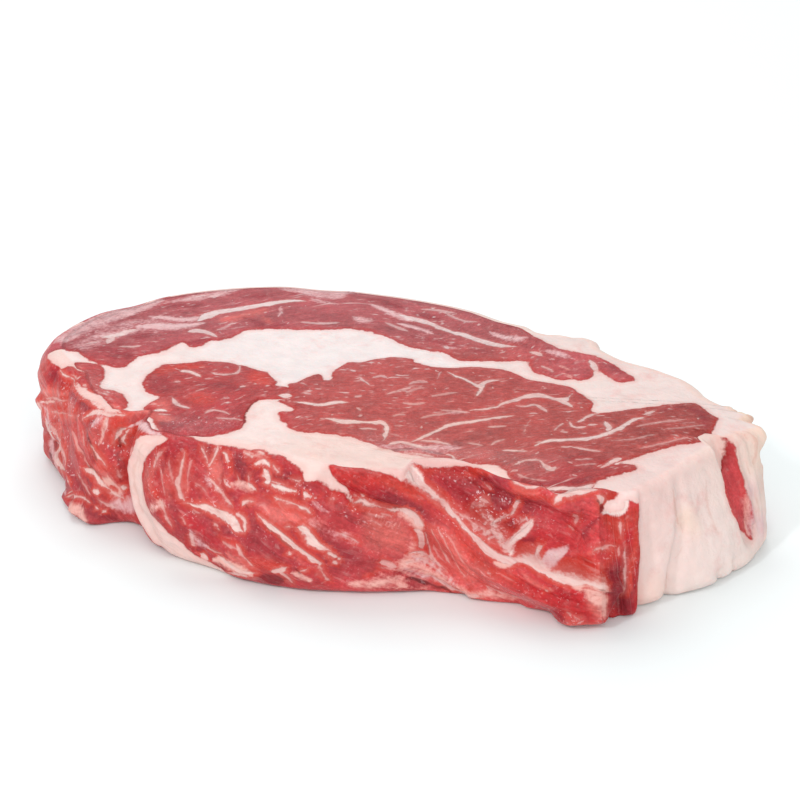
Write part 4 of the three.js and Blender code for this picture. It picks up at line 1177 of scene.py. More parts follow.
# on the wall, deep, dark and crack patches paint the shade in creases, crevices and the wet hollow behind
# the strip, dark ones also darker meat; some salmon ones are painted highlights
WALL_PATCHES = table("""
blood .5 3: 4 35, 22 34, 44 36, 43 33, 22 29, 12 30
salmon 1 3: 9 22, 20 28, 42 34, 42 32, 17 21
dark 1.2 2: 8 5.5, 13.5 6, 23 2, 33 3, 10.5 2.5
salmon 1 3: 46 32, 50 35, 50 32, 48 28, 46 27
blood 1 2: 51.5 34, 54 36, 55.5 35.5, 55.5 33.5, 51 29, 50.5 31
blood 1 2: 57 33.5, 64.5 36.5, 69.5 37, 69.5 35.5, 57 30
thin 1 3: 50 18, 51 18, 54 11, 53 9, 49 14
dark .7 5: 37 13, 45 14, 50 10, 51 5, 47 4, 41 6
thin .85 2: 36 2.5, 41 6, 46 3.5, 45.5 1.5, 43 1.5, 41.5 2.5
membrane .8 4: 52 9, 64 11, 66 9, 56 4, 52 5
red .8 3: 75 35, 79 37, 89 36, 90 34, 78 34
dark 1.1 1.5: 86.5 36.5, 90 35.5, 90 34, 89 32.5, 87.5 34
dark .9 2: 91.5 35.5, 94.5 36.5, 96 35.5, 93.5 34.5
salmon .9 3: 90 33, 95 30, 96 28, 93 27, 90 30
dark 1 4: 96 34, 98 35, 101 34, 103 31, 101 29, 97 31
thin .85 3: 98 28, 103 30, 106 28, 105 27, 100 27
salmon .6 4: 104 25, 110 26, 116 26, 125 22, 121 21
salmon 1.1 5: 111 23, 116 25, 122 24, 126 22, 118 21
membrane .55 4: 124 23, 132 20, 135 17, 131 18, 124 21
dark .9 2: 117.5 20.5, 118.5 21, 121.5 19, 123 17, 118.5 19.5
dark .8 4: 123 20, 126 20, 136 14, 133 11, 128 14
dark .55 7: 105 21, 110 21, 124 10, 122 7, 108 14
dark .5 6: 127 14, 138 9, 135 6, 129 6, 127 9
blood .9 4: 109 11, 114 12, 119 10, 117 8, 112 7, 108 8
crack .7 1.5: 109.5 3.5, 111.5 5.5, 114.5 6, 116.5 5.5, 117.5 3.5, 115.5 2, 112 2
membrane 1 2: 83.5 5, 87 2.5, 92.5 1, 86 1, 82 2.5
salmon .8 3: 87 22, 92 23, 102 21, 104 20, 96 21
blood .8 3: 68 25, 72 28, 75 25, 77 22, 75 20, 72 20
thin .7 3: 73 18, 77 21, 78 19, 76 17, 73 16
dark .7 3: 75 33, 77 34, 82 19, 81 17, 77 27
dark .6 5: 84 20, 89 20, 102 17, 99 14, 86 17
dark .5 5: 82 16, 90 11, 93 8, 88 6, 83 10
dark .6 3: 118 32, 122 33, 126 32, 126 31, 119 31
blood 1.1 3: 125 38, 130 38, 145 34, 151 29, 138 32, 133 32, 127 35
salmon .8 2: 125.5 38, 130.5 43, 135 43, 139.5 37, 143.5 36, 139.5 36
dark 1 4: 139 32, 144 31, 158 24, 155 23, 140 27
dark .7 3: 131 31, 136 32, 140 30, 140 27, 132 29
thin 1.1 2.5: 145 25.5, 147.5 26, 152 23, 153 20.5, 151 20, 146.5 23.5
thin .75 4: 146 21, 149 20, 150 17, 149 14, 147 14
salmon 1 7: 137 25, 143 25, 147 22, 148 17, 146 14, 140 15, 137 19
dark .4 6: 128 17, 133 16, 138 13, 140 9, 131 12
thin .72 3: 146 12, 151 14, 158 8, 169 3, 164 2, 148 5, 145 7
thin .85 3: 132 4, 141 7, 148 5, 147 4, 153 2, 152 1
thin .9 4: 136 5, 140 6, 145 6, 146 4, 138 3
dark .8 2: 147 4.5, 149.5 3.5, 152.5 2.5, 151 1.5, 148 2
salmon .9 4: 153 21, 158 21, 168 15, 172 10, 168 6, 159 11
blood .9 3: 160 24, 178 14, 177 13, 172 14, 162 21
blood 1 4: 177 14, 182 14, 200 7, 199 5, 180 12
thin .8 3: 162 5, 169 4, 181 4, 187 7, 182 2, 168 2
salmon .9 3: 195 4, 201 3, 202 4, 202 2, 195 2
thin 1.1 1.5: 177.5 16.5, 181 16.5, 182.5 16, 180.5 14.5, 178 15
thin .95 1.5: 195.5 16, 205 13.5, 204 10.5, 202 11, 201 10, 195.5 14.5
deep .85 4: 184 11, 191 13, 200 8, 201 6, 199 4
salmon 1.3 1.5: 201.5 10.5, 204 10.5, 204.5 8.5, 204 5.5, 202.5 4, 200.5 9
thin .95 2: 198.5 13, 204 11, 204.5 8, 204 4.5, 202 6
salmon .9 2: 199.5 9.5, 202 8, 202.5 5, 201 6.5
fat 1.3 1.5: 145 43, 149.5 35.5, 156.5 29.5, 155.5 29, 150 32, 146 37.5
blood 1.1 2.5: 149 36, 154.5 34.5, 162 34, 171 43, 174 43, 170 35, 162 32.5, 150 34
dark 1.15 5: 151 32, 157 31, 174 24, 173 23, 160 27
dark .8 4: 167 33, 174 37, 177 33, 178 28, 174 25, 170 27
membrane .4 3: 160 27, 169 24, 173 22, 172 22, 162 25
fat 1.15 1.2: 168 26, 172.5 23.5, 181.5 20, 182.5 19, 182 18, 180.5 20, 174 22.5
fat 1.1 1.2: 179.5 21, 183 25, 184.5 24.5, 183.5 22.5, 181 20.5
dark .9 1.5: 174.5 23, 176 24, 178.5 24, 180.5 23.5, 179.5 22
dark .9 2: 182 20, 184.5 20, 186 19.5, 186.5 19, 184 19
membrane 1.4 1: 189 18, 190 20, 194 20.5, 195 20, 192.5 18
salmon .8 3: 190 18, 192 18, 194 17, 192 17
dark .7 4: 179 30, 185 34, 189 34, 186 28, 182 26
red .7 8: 185 26, 193 33, 198 31, 201 26, 196 21, 190 22
blood 1 3: 202 34, 205 35, 207 32, 208 26, 207 17, 204 16, 206 22
blood .9 4: 193 17, 201 19, 204 16, 204 14, 196 16
blood 1 1.5: 204 36.5, 206.5 43, 208 37, 206.5 35, 204.5 34.5
fat 1.3 1.2: 203.5 30.5, 207 35, 208.5 43, 209.5 37, 209 32, 207 30.5
red 1.1 3: 209 24, 210 23, 209 2, 207 1, 205 13, 207 13
deep 1 3: 208 27, 210 32, 212 26, 211 2, 208 1, 205 7, 208 20
dark 1 3: 210 21, 211 17, 211 2, 208 1, 205 9, 205 14
blood 1 2: 204 29.5, 207.5 30, 209.5 32.5, 210.5 33, 210.5 28.5, 209.5 26, 207.5 27.5, 205.5 26
membrane .72 3: 540 36, 531 36, 521 38, 511 37, 495 37, 487 35, 497 43, 507 43, 502 43, 545 43, 540 39
membrane .68 3: 473 43, 479 35, 472 35, 466 37, 460 37, 467 43, 482 43
membrane .68 3: 450 37, 420 37, 429 43, 427 43, 444 43, 438 43, 453 43
salmon .9 1.5: 45 38.5, 47 43, 51 43, 48 38.5
deep .9 4: 7 32, 10 36, 40 43, 38 38, 30 33, 12 28
deep .5 4: 31 33, 42 37, 51 34, 48 27, 44 30
deep .55 4: 71 32, 78 35, 79 26, 78 21, 73 25
deep .5 4: 82 21, 88 17, 97 11, 89 8, 84 13
deep .6 4: 125 37, 132 43, 142 31, 135 29, 128 31
deep .6 4: 150 33, 157 31, 169 24, 161 25, 154 29
""")
print(len(FACE_STROKES) + len(WALL_STROKES), "strokes,", len(FACE_PATCHES) + len(WALL_PATCHES), "patches")

# %% Lay the tissues, painted shade and painted highlights on
PAINT_WANDER, FILM_EDGE = 0.8, 3
STROKE_END, STROKE_TAPER = 0.5, 6


def lay_on(paint, where, tissue, strength, cover):
    """Lays one tissue, painted shade or painted highlight over part of a paint: stains, painted shade
    and painted highlights tint the lean and clear the film there, a film takes over where it covers
    more than the last one."""
    lean_colour, film, share = paint
    colour = linear(TISSUES_SHADES_AND_HIGHLIGHTS[tissue])
    if tissue in STAINS_SHADES_AND_HIGHLIGHTS:
        tint_amount = np.minimum(TINT_WEIGHT * strength * cover, 1)
        lean_colour[where] += (colour - lean_colour[where]) * tint_amount[:, None]
        share[where] *= 1 - np.minimum(strength * cover, 1)
    else:
        film[where] += (colour - film[where]) * smooth01(FILM_EDGE * cover)[:, None]
        share[where] = np.maximum(share[where] * (1 - cover), strength * cover)


def painted(across, up, patches, strokes, lean_colour, seed):
    """Lean colour with the stains, the painted shade and the painted highlights blended in, and the
    colour and share of the films over it. A patch covers all inside its outline with a soft edge, a
    stroke covers most on its line and nothing at twice its half width."""
    across, up = wobbled(across, up, PAINT_WANDER, seed)
    film = np.broadcast_to(linear(TISSUES_SHADES_AND_HIGHLIGHTS["membrane"]), across.shape + (3,)).copy()
    paint = (lean_colour, film, np.zeros(across.shape))
    for (tissue, strength, soft), outline in patches:
        outline = smooth_outline(outline[:, :2])
        near = near_box(across, up, outline, float(soft))
        inside = inside_by(across[near], up[near], outline)
        lay_on(paint, near, tissue, float(strength), smooth01(inside / float(soft) + 0.5))
    for (tissue, strength), line in strokes:
        line = smooth_line(line)
        near = near_box(across, up, line[:, :2], 2 * line[:, 2].max())
        distance, _, along, _, _ = measure_line(across[near], up[near], line[:, :2])
        width = 2 * np.interp(along, shares_along(line), line[:, 2])
        taper = smooth01(STROKE_TAPER * np.minimum(along, 1 - along))
        width = width * (STROKE_END + (1 - STROKE_END) * taper)
        lay_on(paint, near, tissue, float(strength), smooth01(1 - distance / width))
    return lean_colour, film, np.minimum(paint[2], MOST_FILM)


# %% [markdown]
# ## Colour and wetness of each place
#
# No two muscles have the same red, and fat runs from milk white to a warm cream. A few spots of
# colour, each with a place and a size, are blended by distance, which keeps every change soft.
# Juice gathers in the hollows and along the torn edges, so wetness is laid down in the same way.

# %% Reds and creams
# colour: across, up, size
FACE_REDS = table("""
#ac4744: 10 0 26
#aa4743: 40 -30 20
#9d3f3b: 78 -25 18
#a84340: 25 5 18
#a93839: -55 0 20
#a82f37: -52 -25 12
#aa4f54: -50 55 30
#a44e52: 10 45 24
#a3494f: -90 35 20
#b04b50: 55 15 14
#b2383a: -88 5 14
#bc413d: -95 -5 12
#a4383a: 50 -57 10
""")
WALL_REDS = table("""
#c24e4b: 20 25 20
#a43c45: 30 8 14
#c0423f: 50 22 12
#b4353a: 85 22 18
#ae373f: 100 12 16
#b93439: 120 22 14
#aa2a31: 110 29 9
#c64649: 140 14 14
#b41e24: 137 32 7
#b02127: 78 27 7
#921c1f: 17 32 7
#951f22: 28 39 6
#cb4e4c: 160 20 10
#cf5452: 175 12 12
#bc1824: 190 8 10
#c53434: 203 5 8
#a1161f: 163 29 9
#b8333c: 180 26 9
#da5153: 197 26 8
#99101b: 211.5 13 6
#cf383c: 203 25 6
#c4494c: 252 16 14
#af4950: 330 18 50
#ac4a50: 430 18 50
#b04750: 520 18 30
""")
FACE_CREAMS = table("""
#e7dbd9: -20 32 26
#e7d5d1: -80 5 20
#e3cfca: 70 0 22
#e6cac2: 0 -42 24
#e9d5d0: -38 -22 14
#e2c8c3: 75 -50 16
#e3cfca: 97 -20 14
""")
WALL_CREAMS = table("""
#eac9c2: 65 20 20
#edd1ca: 120 33 16
#e1b9b4: 150 8 20
#e7c6c0: 215 28 14
#f0dcd8: 209 35 4
#ebd3cd: 228 18 12
#ecd9d3: 240 8 14
#dcb4bd: 259 21 3
#d9b2bd: 260.5 10 3
#e9c9b2: 230 22 3
#ecccc2: 217 6 4
#e7cfc6: 265 20 12
#e6c9ac: 273 30 8
#e7ccc3: 330 18 60
#e5c9c2: 430 18 60
""")

# %% Blend the spots
SPOT_WANDER = 2.0
FAINTEST, NEVER_NOUGHT = 1e-5, 1e-6


def spot_colours(across, up, spots):
    """Blend of the spots' linear colours, each weighted by a bell of its own size."""
    across, up = wobbled(across, up, SPOT_WANDER, 5)
    total = np.zeros(across.shape + (3,))
    weights = np.full(across.shape, NEVER_NOUGHT)
    for (colour,), ((at_across, at_up, size),) in spots:
        weight = np.exp(-((across - at_across) ** 2 + (up - at_up) ** 2) / size**2) + FAINTEST
        total += weight[..., None] * linear(colour)
        weights += weight
    return total / weights[..., None]


print(len(FACE_REDS) + len(WALL_REDS), "reds and", len(FACE_CREAMS) + len(WALL_CREAMS), "creams")

# %% Wetness
# wetness, and the points with the reach
FACE_WET = table("""
.5: -62 -25 5, -56 -27, -48 -26
.5: -5 -36 6, 15 -42, 40 -52
.7: -92 4 6, -86 -2
""")
WALL_WET = table("""
.6: 152 33 5, 162 31, 185 26
1: 165 30 3.5, 171 26.5, 176 24
.7: 160 22 5, 172 26, 178 30
.65: 108 31 4, 118 30, 128 28, 140 25
.35: 85 24 9, 110 18
.7: 84 20 4, 96 20, 104 17
.8: 90 34 4, 92 28, 98 33
.6: 73 30 5, 76 20
.6: 16 20 7, 36 14
.7: 20 32 5, 36 34, 48 33
.7: 46 30 5, 54 22
.6: 190 6 5, 205 4
.6: 170 10 6, 186 6
.45: 190 26 5, 198 28, 204 18
.35: 209 26 4, 210 10
""")


BELL_REACH = 3


def wet_places(across, up, strokes):
    """Wetness from 0 to 1, laid down as soft strokes too."""
    wet = np.zeros(across.shape)
    for (strength,), line in strokes:
        line = smooth_line(line)
        reach = line[0, 2]
        near = near_box(across, up, line[:, :2], BELL_REACH * reach)
        distance = measure_line(across[near], up[near], line[:, :2])[0]
        wet[near] = np.maximum(wet[near], float(strength) * np.exp(-((distance / reach) ** 2)))
    return wet


# %% Colour every place
# the underside, the wall and the top, each with what is drawn on it
PLACES = [(under[..., 0], under[..., 1]), (along_rim, up_wall), (top[..., 0], top[..., 1])]
DRAWN = [(FACE_PATCHES, FACE_STROKES), (WALL_PATCHES, WALL_STROKES), (FACE_PATCHES, FACE_STROKES)]
PAINT_SEEDS = (111, 121, 101)
reds = [spot_colours(*places, spots) for places, spots in zip(PLACES, (FACE_REDS, WALL_REDS, FACE_REDS))]
creams = [spot_colours(*places, spots)
          for places, spots in zip(PLACES, (FACE_CREAMS, WALL_CREAMS, FACE_CREAMS))]
paints = [painted(*places, *drawn, red, seed)
          for places, drawn, red, seed in zip(PLACES, DRAWN, reds, PAINT_SEEDS)]
MOIST_WALL, MOIST_EDGE = 0.24, 4
moist = MOIST_WALL * smooth01((FAT_WALL_START - along_rim) / MOIST_EDGE)
wetness = [np.zeros(under.shape[:2]), np.maximum(wet_places(*PLACES[1], WALL_WET), moist),
           wet_places(*PLACES[2], FACE_WET)]
print("wettest place", round(float(wetness[1].max()), 2))

# %% [markdown]
# ## Relief of the cut top
#
# A knife leaves a nearly flat face, but each muscle swells a little between its seams, because
# cut fibres relax while fat stays firm. So the top rises with the distance inside a muscle and
# dips along every vein, on top of a slow swell of the whole face.

# %% Raise the muscles
SWELL_HEIGHT, SWELL_LENGTH = 0.35, 62.0
MUSCLE_SWELL, FAT_LUMPS, CUT_MARKS = 0.45, 0.22, 0.08
GROOVE_DEPTH, GROOVE_WIDTH = 0.16, 0.8
LEVEL_RIM = 0.06


def top_relief(x, y, share, lean, lines):
    """Slow waves of the face, plus the muscle swelling, the lumps of the fat and the marks of the
    knife, less a groove along each vein. It fades to nothing at the rim."""
    turn = 2 * np.pi / SWELL_LENGTH
    wave = np.sin((x + 0.6 * y) * turn) + np.cos((y - 0.4 * x) * turn)
    muscle = MUSCLE_SWELL * smooth01(lean / 3.0 + 0.3) * (1 + 0.5 * uneven(flat_points(x, y), 7, 8))
    fatty = FAT_LUMPS * uneven(flat_points(x, y), 5, 9) * smooth01(-lean / 2)
    cut_marks = CUT_MARKS * uneven(flat_points(x, y), 2.2, 10)
    groove = (GROOVE_DEPTH * np.exp(-(lines[:, 0] / GROOVE_WIDTH) ** 2) * (lines[:, 1] > -1)).sum(0)
    return (SWELL_HEIGHT * wave + muscle + fatty + cut_marks - groove) * smooth01(share / LEVEL_RIM)


share_grid = np.broadcast_to(top_shares[:, None], top.shape[:2])
top[..., 2] += top_relief(top[..., 0], top[..., 1], share_grid, top_lean, top_lines)
print(f"top rises from {top[..., 2].min():.2f} to {top[..., 2].max():.2f} mm")

# %% [markdown]
# ## One closed mesh
#
# The grids are stacked ring on ring, and each end closes in one middle vertex. Every tissue value
# goes in as an attribute with one number or colour for each vertex.

# %% Stack the rings
rings = np.concatenate([under, wall, top])
ring_count, column_count = rings.shape[:2]
poles = np.array([[*FACE_MIDDLE, 0.0], [*FACE_MIDDLE, top[-1, :, 2].mean()]])
vertices = np.concatenate([rings.reshape(-1, 3), poles]) * MM
grid = np.arange(ring_count * column_count).reshape(ring_count, column_count)
beside = np.roll(grid, -1, axis=1)
quads = np.stack([grid[:-1], beside[:-1], beside[1:], grid[1:]], -1).reshape(-1, 4)
low_pole, high_pole = ring_count * column_count, ring_count * column_count + 1
low_fan = np.stack([np.full(column_count, low_pole), beside[0], grid[0]], -1)
high_fan = np.stack([np.full(column_count, high_pole), grid[-1], beside[-1]], -1)

mesh = bpy.data.meshes.new("steak_meat")
mesh.from_pydata(vertices.tolist(), [], quads.tolist() + low_fan.tolist() + high_fan.tolist())
mesh.polygons.foreach_set("use_smooth", np.ones(len(mesh.polygons), bool))
steak_meat = bpy.data.objects.new("steak_meat", mesh)
bpy.context.collection.objects.link(steak_meat)
print(f"{len(mesh.vertices)} vertices, {2 * len(quads) + 2 * column_count} triangles")

# %% Write the attributes
def stacked(under_values, wall_values, top_values):
    """Values of all rings in vertex order, with the two middle vertices like their last ring."""
    whole = np.concatenate([under_values, wall_values, top_values])
    ends = np.stack([whole[0].mean(0), whole[-1].mean(0)])
    return np.concatenate([whole.reshape((-1,) + whole.shape[2:]), ends])


def write_attribute(name, values):
    """One number or one colour for each vertex."""
    kind, key = ("FLOAT", "value") if values.ndim == 1 else ("FLOAT_VECTOR", "vector")
    attribute = mesh.attributes.new(name, kind, "POINT")
    attribute.data.foreach_set(key, values.astype(np.float32).ravel())


MARBLED_WALL = 0.35
write_attribute("lean", stacked(under_lean, wall_tissue, top_lean))
for layer in range(LAYERS):
    for index, name in enumerate(("side", "half", "share")):
        parts = [lines[layer, index] for lines in (under_lines, wall_lines, top_lines)]
        write_attribute(f"line_{name}_{layer}", stacked(*parts))
for name, parts in zip(("lean_colour", "film", "film_share"), zip(*paints)):
    write_attribute(name, stacked(*parts))
write_attribute("fat_colour", stacked(*creams))
write_attribute("wet", stacked(*wetness))
write_attribute("marbled", stacked(0 * under_lean + 1, 0 * wall_tissue + MARBLED_WALL, 0 * top_lean + 1))
print(len(mesh.attributes), "attributes so far")

# %% [markdown]
# Muscle is made of fibres, and colour, marbling and roughness all run along them. A coordinate
# that is squeezed along the fibres lets any noise be drawn out in their direction.

# %% Fibre coordinates
FACE_SQUEEZE, WALL_SQUEEZE = 3, 7
GRAIN_ANGLE, GRAIN_TURN = 0.35, 0.5


def face_grain(grid_mm):
    """Millimetres across and along the fibres on a cut face, where the cut ends lie almost end
    on: the grain turns slowly over the face."""
    x, y = grid_mm[..., 0], grid_mm[..., 1]
    angle = GRAIN_ANGLE + GRAIN_TURN * uneven(flat_points(x, y), 60, 15)
    across = y * np.cos(angle) - x * np.sin(angle)
    along = x * np.cos(angle) + y * np.sin(angle)
    return np.stack([across, along / FACE_SQUEEZE, grid_mm[..., 2]], -1)


wall_across, wall_along = lean_grain(along_rim, up_wall)
wall_grain = np.stack([wall_across, wall_along / WALL_SQUEEZE, np.zeros_like(wall_across)], -1)
write_attribute("grain", stacked(face_grain(under), wall_grain, face_grain(top)))
print("attributes:", [a.name for a in mesh.attributes if not a.name.startswith(".")])

# %% [markdown]
# ## Raw beef
#
# Raw beef is wet protein: light goes in a little and comes back redder, and a thin film of juice
# lies over it, so it has a soft body and small sharp highlights. Fat is the same with a milky
# body and less film. One material mixes the two by the tissue map. Noise moves the borders at
# fine scale, and flecks of fat too small to draw one by one are the peaks of other noises.
# Some of the small sharp highlights are painted: white glints laid into the colour where the meat is wet.

# %% Node helper
# a Mix node has sockets for each kind of value, so they go by number: 0 is the factor, 2 and 3 are
# plain values, 6 and 7 are colours, and the mixed colour is output 2
COLOUR_MIX = {"output": 2, "data_type": "RGBA"}
EASED = {"interpolation_type": "SMOOTHSTEP"}


def add(tree, kind, inputs=None, output=0, **settings):
    """Adds a shader node, sets its settings, fills or joins its inputs, and returns an output."""
    made = tree.nodes.new("ShaderNode" + kind)
    for name, value in settings.items():
        setattr(made, name, value)
    for name, value in (inputs or {}).items():
        if isinstance(value, bpy.types.NodeSocket):
            tree.links.new(value, made.inputs[name])
        else:
            made.inputs[name].default_value = value
    return made.outputs[output]


def opaque(hex_colour):
    """Linear colour with an alpha of one, as colour sockets take it."""
    return (*linear(hex_colour), 1)


print("darkest crack:", np.round(opaque(TISSUES_SHADES_AND_HIGHLIGHTS["crack"]), 3))

# %% [markdown]
# Sizes of patterns are real ones. Noise scales are steps for each metre, so 1000 over a size in
# millimetres gives lumps of that size. The fibre coordinates are in millimetres already.

# %% Shared noises
PER_METRE = 1000
# name, size in millimetres, detail
PLACE_NOISES = (("patches", 11, 3.0), ("lumps", 3.2, 3.0), ("grit", 0.9, 2.0))
GRAIN_NOISES = (("fibres", 0.8, 2.0), ("bundles", 2.6, 2.0))


def meat_noises(tree):
    """Places, fibre coordinates, and the noises that more than one part of the look needs."""
    place = add(tree, "TexCoord", output="Object")
    grain = add(tree, "Attribute", output="Vector", attribute_name="grain")
    noises = {"place": place, "grain": grain}
    for name, size, detail in PLACE_NOISES:
        noises[name] = add(tree, "TexNoise", {"Vector": place, "Scale": PER_METRE / size, "Detail": detail})
    for name, size, detail in GRAIN_NOISES:
        noises[name] = add(tree, "TexNoise", {"Vector": grain, "Scale": 1 / size, "Detail": detail,
                                              "Roughness": 0.6})
    return noises


# %% Marbling
SMALL_FLECK, LARGE_FLECK = 1.3, 2.6


def marbling(tree, noises, inside):
    """Flecks of fat inside the lean, where noises are high: many soft ones of a millimetre or
    two drawn out along the fibres, and a few larger ones that wander."""
    small = add(tree, "TexNoise", {"Vector": noises["grain"], "Scale": 1 / SMALL_FLECK, "Detail": 2.0,
                                   "Roughness": 0.45})
    small = add(tree, "MapRange", {"Value": small, "From Min": 0.585, "From Max": 0.76, "To Max": 0.66},
                **EASED)
    often = add(tree, "MapRange", {"Value": noises["patches"], "From Min": 0.40, "From Max": 0.58})
    small = add(tree, "Math", {0: small, 1: often}, operation="MULTIPLY")
    large = add(tree, "TexNoise", {"Vector": noises["place"], "Scale": PER_METRE / LARGE_FLECK,
                                   "Detail": 2.0, "Distortion": 0.4})
    large = add(tree, "MapRange", {"Value": large, "From Min": 0.66, "From Max": 0.78, "To Max": 0.5},
                **EASED)
    both = add(tree, "Math", {0: small, 1: large}, operation="MAXIMUM")
    deep = add(tree, "MapRange", {"Value": inside, "From Min": 0.3, "From Max": 1.5})
    marbled = add(tree, "Attribute", output="Fac", attribute_name="marbled")
    deep = add(tree, "Math", {0: deep, 1: marbled}, operation="MULTIPLY")
    return add(tree, "Math", {0: both, 1: deep}, operation="MULTIPLY")


# %% Where the fat is
FAT_EDGE = 0.3


def with_noise(tree, noises, value, amounts):
    """A value plus each named noise, less the noise's middle, times its amount."""
    for name, amount in amounts.items():
        offset = add(tree, "Math", {0: noises[name], 1: 0.5}, operation="SUBTRACT")
        value = add(tree, "Math", {0: offset, 1: amount, 2: value}, operation="MULTIPLY_ADD")
    return value


def fat_share(tree, noises):
    """Share of fat by the tissue map, and the distance inside lean meat, both after the noise."""
    drawn = add(tree, "Attribute", output="Fac", attribute_name="lean")
    drawn = with_noise(tree, noises, drawn, {"lumps": 1.9, "grit": 0.6})
    fat = add(tree, "MapRange", {"Value": drawn, "From Min": FAT_EDGE, "From Max": -FAT_EDGE}, **EASED)
    flecks = marbling(tree, noises, drawn)
    return add(tree, "Math", {0: fat, 1: flecks}, operation="MAXIMUM"), drawn


# %% The drawn lines
def line_shares(tree, noises, fat):
    """Fat with the pale lines and their faint halo added, the share of the dark lines, which are
    painted shade where the meat is split or creased, and the glow of thin lean, which lets more light
    through where fat lies close behind it."""
    coarse = add(tree, "Math", {0: noises["lumps"], 1: 0.5}, operation="SUBTRACT")
    fine = add(tree, "Math", {0: noises["grit"], 1: 0.5}, operation="SUBTRACT")
    uneven_along = add(tree, "MapRange", {"Value": noises["fibres"], "From Min": 0.3, "From Max": 0.6,
                                          "To Min": 0.7, "To Max": 1.05})
    shaded_cracks, glow = 0.0, 0.0
    for layer in range(LAYERS):
        names = [f"line_{name}_{layer}" for name in ("side", "half", "share")]
        side, half, share = (add(tree, "Attribute", output="Fac", attribute_name=name) for name in names)
        side = add(tree, "Math", {0: coarse, 1: 1.0, 2: side}, operation="MULTIPLY_ADD")
        half = add(tree, "Math", {0: fine, 1: 0.5, 2: half}, operation="MULTIPLY_ADD")
        half = add(tree, "Math", {0: coarse, 1: 1.4, 2: half}, operation="MULTIPLY_ADD")
        apart = add(tree, "Math", {0: side}, operation="ABSOLUTE")
        gap = add(tree, "Math", {0: apart, 1: half}, operation="SUBTRACT")
        line = add(tree, "MapRange", {"Value": gap, "From Min": 0.28, "From Max": -0.32}, **EASED)
        halo = add(tree, "MapRange", {"Value": gap, "From Min": 1.0, "From Max": 0.0, "To Max": 0.16},
                   **EASED)
        near = add(tree, "MapRange", {"Value": gap, "From Min": 2.6, "From Max": 0.3, "To Max": 0.8},
                   **EASED)
        near = add(tree, "Math", {0: near, 1: share}, operation="MULTIPLY")
        glow = add(tree, "Math", {0: near, 1: glow}, operation="MAXIMUM")
        line = add(tree, "Math", {0: line, 1: halo}, operation="MAXIMUM")
        line = add(tree, "Math", {0: line, 1: share}, operation="MULTIPLY")
        line = add(tree, "Math", {0: line, 1: uneven_along}, operation="MULTIPLY")
        fat = add(tree, "Math", {0: fat, 1: line}, operation="MAXIMUM")
        # a line whose share is below nought is drawn dark, as painted shade in a crack or crease
        crack = add(tree, "Math", {0: line, 1: -1.0}, operation="MULTIPLY")
        shaded_cracks = add(tree, "Math", {0: crack, 1: shaded_cracks}, operation="MAXIMUM")
    marbled = add(tree, "Attribute", output="Fac", attribute_name="marbled")
    thin = add(tree, "MapRange", {"Value": marbled, "From Min": MARBLED_WALL, "From Max": 1.0,
                                  "To Min": 1.0, "To Max": 0.25})
    return fat, shaded_cracks, add(tree, "Math", {0: glow, 1: thin}, operation="MULTIPLY")


# %% Colour of the lean
# the first two colours are painted glow of light scattered by the fat: beside the fat, and where fat lies
# behind thin lean
GLOW_BESIDE_FAT, GLOWING, MILKY = "#b8281f", "#cb3f31", "#d98f8a"
MILK_SIZE = 2.4


def lean_look(tree, noises, inside, glow):
    """Red of the muscle, mottled by patches and fibres, painted a deeper orange red right beside the
    fat as a painted glow of the light that the fat scatters into it, glowing where fat lies close
    behind thin lean, with a milky mottle and the painted films laid over it."""
    colour = add(tree, "Attribute", output="Vector", attribute_name="lean_colour")
    light = add(tree, "MapRange", {"Value": noises["patches"], "From Min": 0.25, "From Max": 0.75,
                                   "To Min": 0.8, "To Max": 1.2})
    light = with_noise(tree, noises, light, {"fibres": 0.6, "bundles": 0.45, "lumps": 0.3, "grit": 0.6})
    colour = add(tree, "VectorMath", {0: colour, "Scale": light}, operation="SCALE")
    # painted glow: lean next to the fat is painted a deeper orange red for the light the fat scatters into
    # it
    rim = add(tree, "MapRange", {"Value": inside, "From Min": 1.5, "From Max": 0.2, "To Max": 0.45})
    colour = add(tree, "Mix", {0: rim, 6: colour, 7: opaque(GLOW_BESIDE_FAT)}, **COLOUR_MIX)
    colour = add(tree, "Mix", {0: glow, 6: colour, 7: opaque(GLOWING)}, **COLOUR_MIX)
    milk = add(tree, "TexNoise", {"Vector": noises["place"], "Scale": PER_METRE / MILK_SIZE,
                                  "Detail": 4.0, "Roughness": 0.62})
    milk = add(tree, "MapRange", {"Value": milk, "From Min": 0.5, "From Max": 0.72, "To Max": 0.2})
    colour = add(tree, "Mix", {0: milk, 6: colour, 7: opaque(MILKY)}, **COLOUR_MIX)
    film = add(tree, "Attribute", output="Vector", attribute_name="film")
    share = add(tree, "Attribute", output="Fac", attribute_name="film_share")
    for name, amount in (("lumps", 0.7), ("grit", 0.6), ("fibres", 0.8)):
        share = add(tree, "Math", {0: noises[name], 1: amount, 2: share}, operation="MULTIPLY_ADD")
    share = add(tree, "MapRange", {"Value": share, "From Min": 1.2, "From Max": 2.1}, **EASED)
    return add(tree, "Mix", {0: share, 6: colour, 7: film}, **COLOUR_MIX)


# %% Colour of the fat
BLUSH = "#dc8f88"
CLOUD_SIZE, STAIN_SIZE = 6, 8


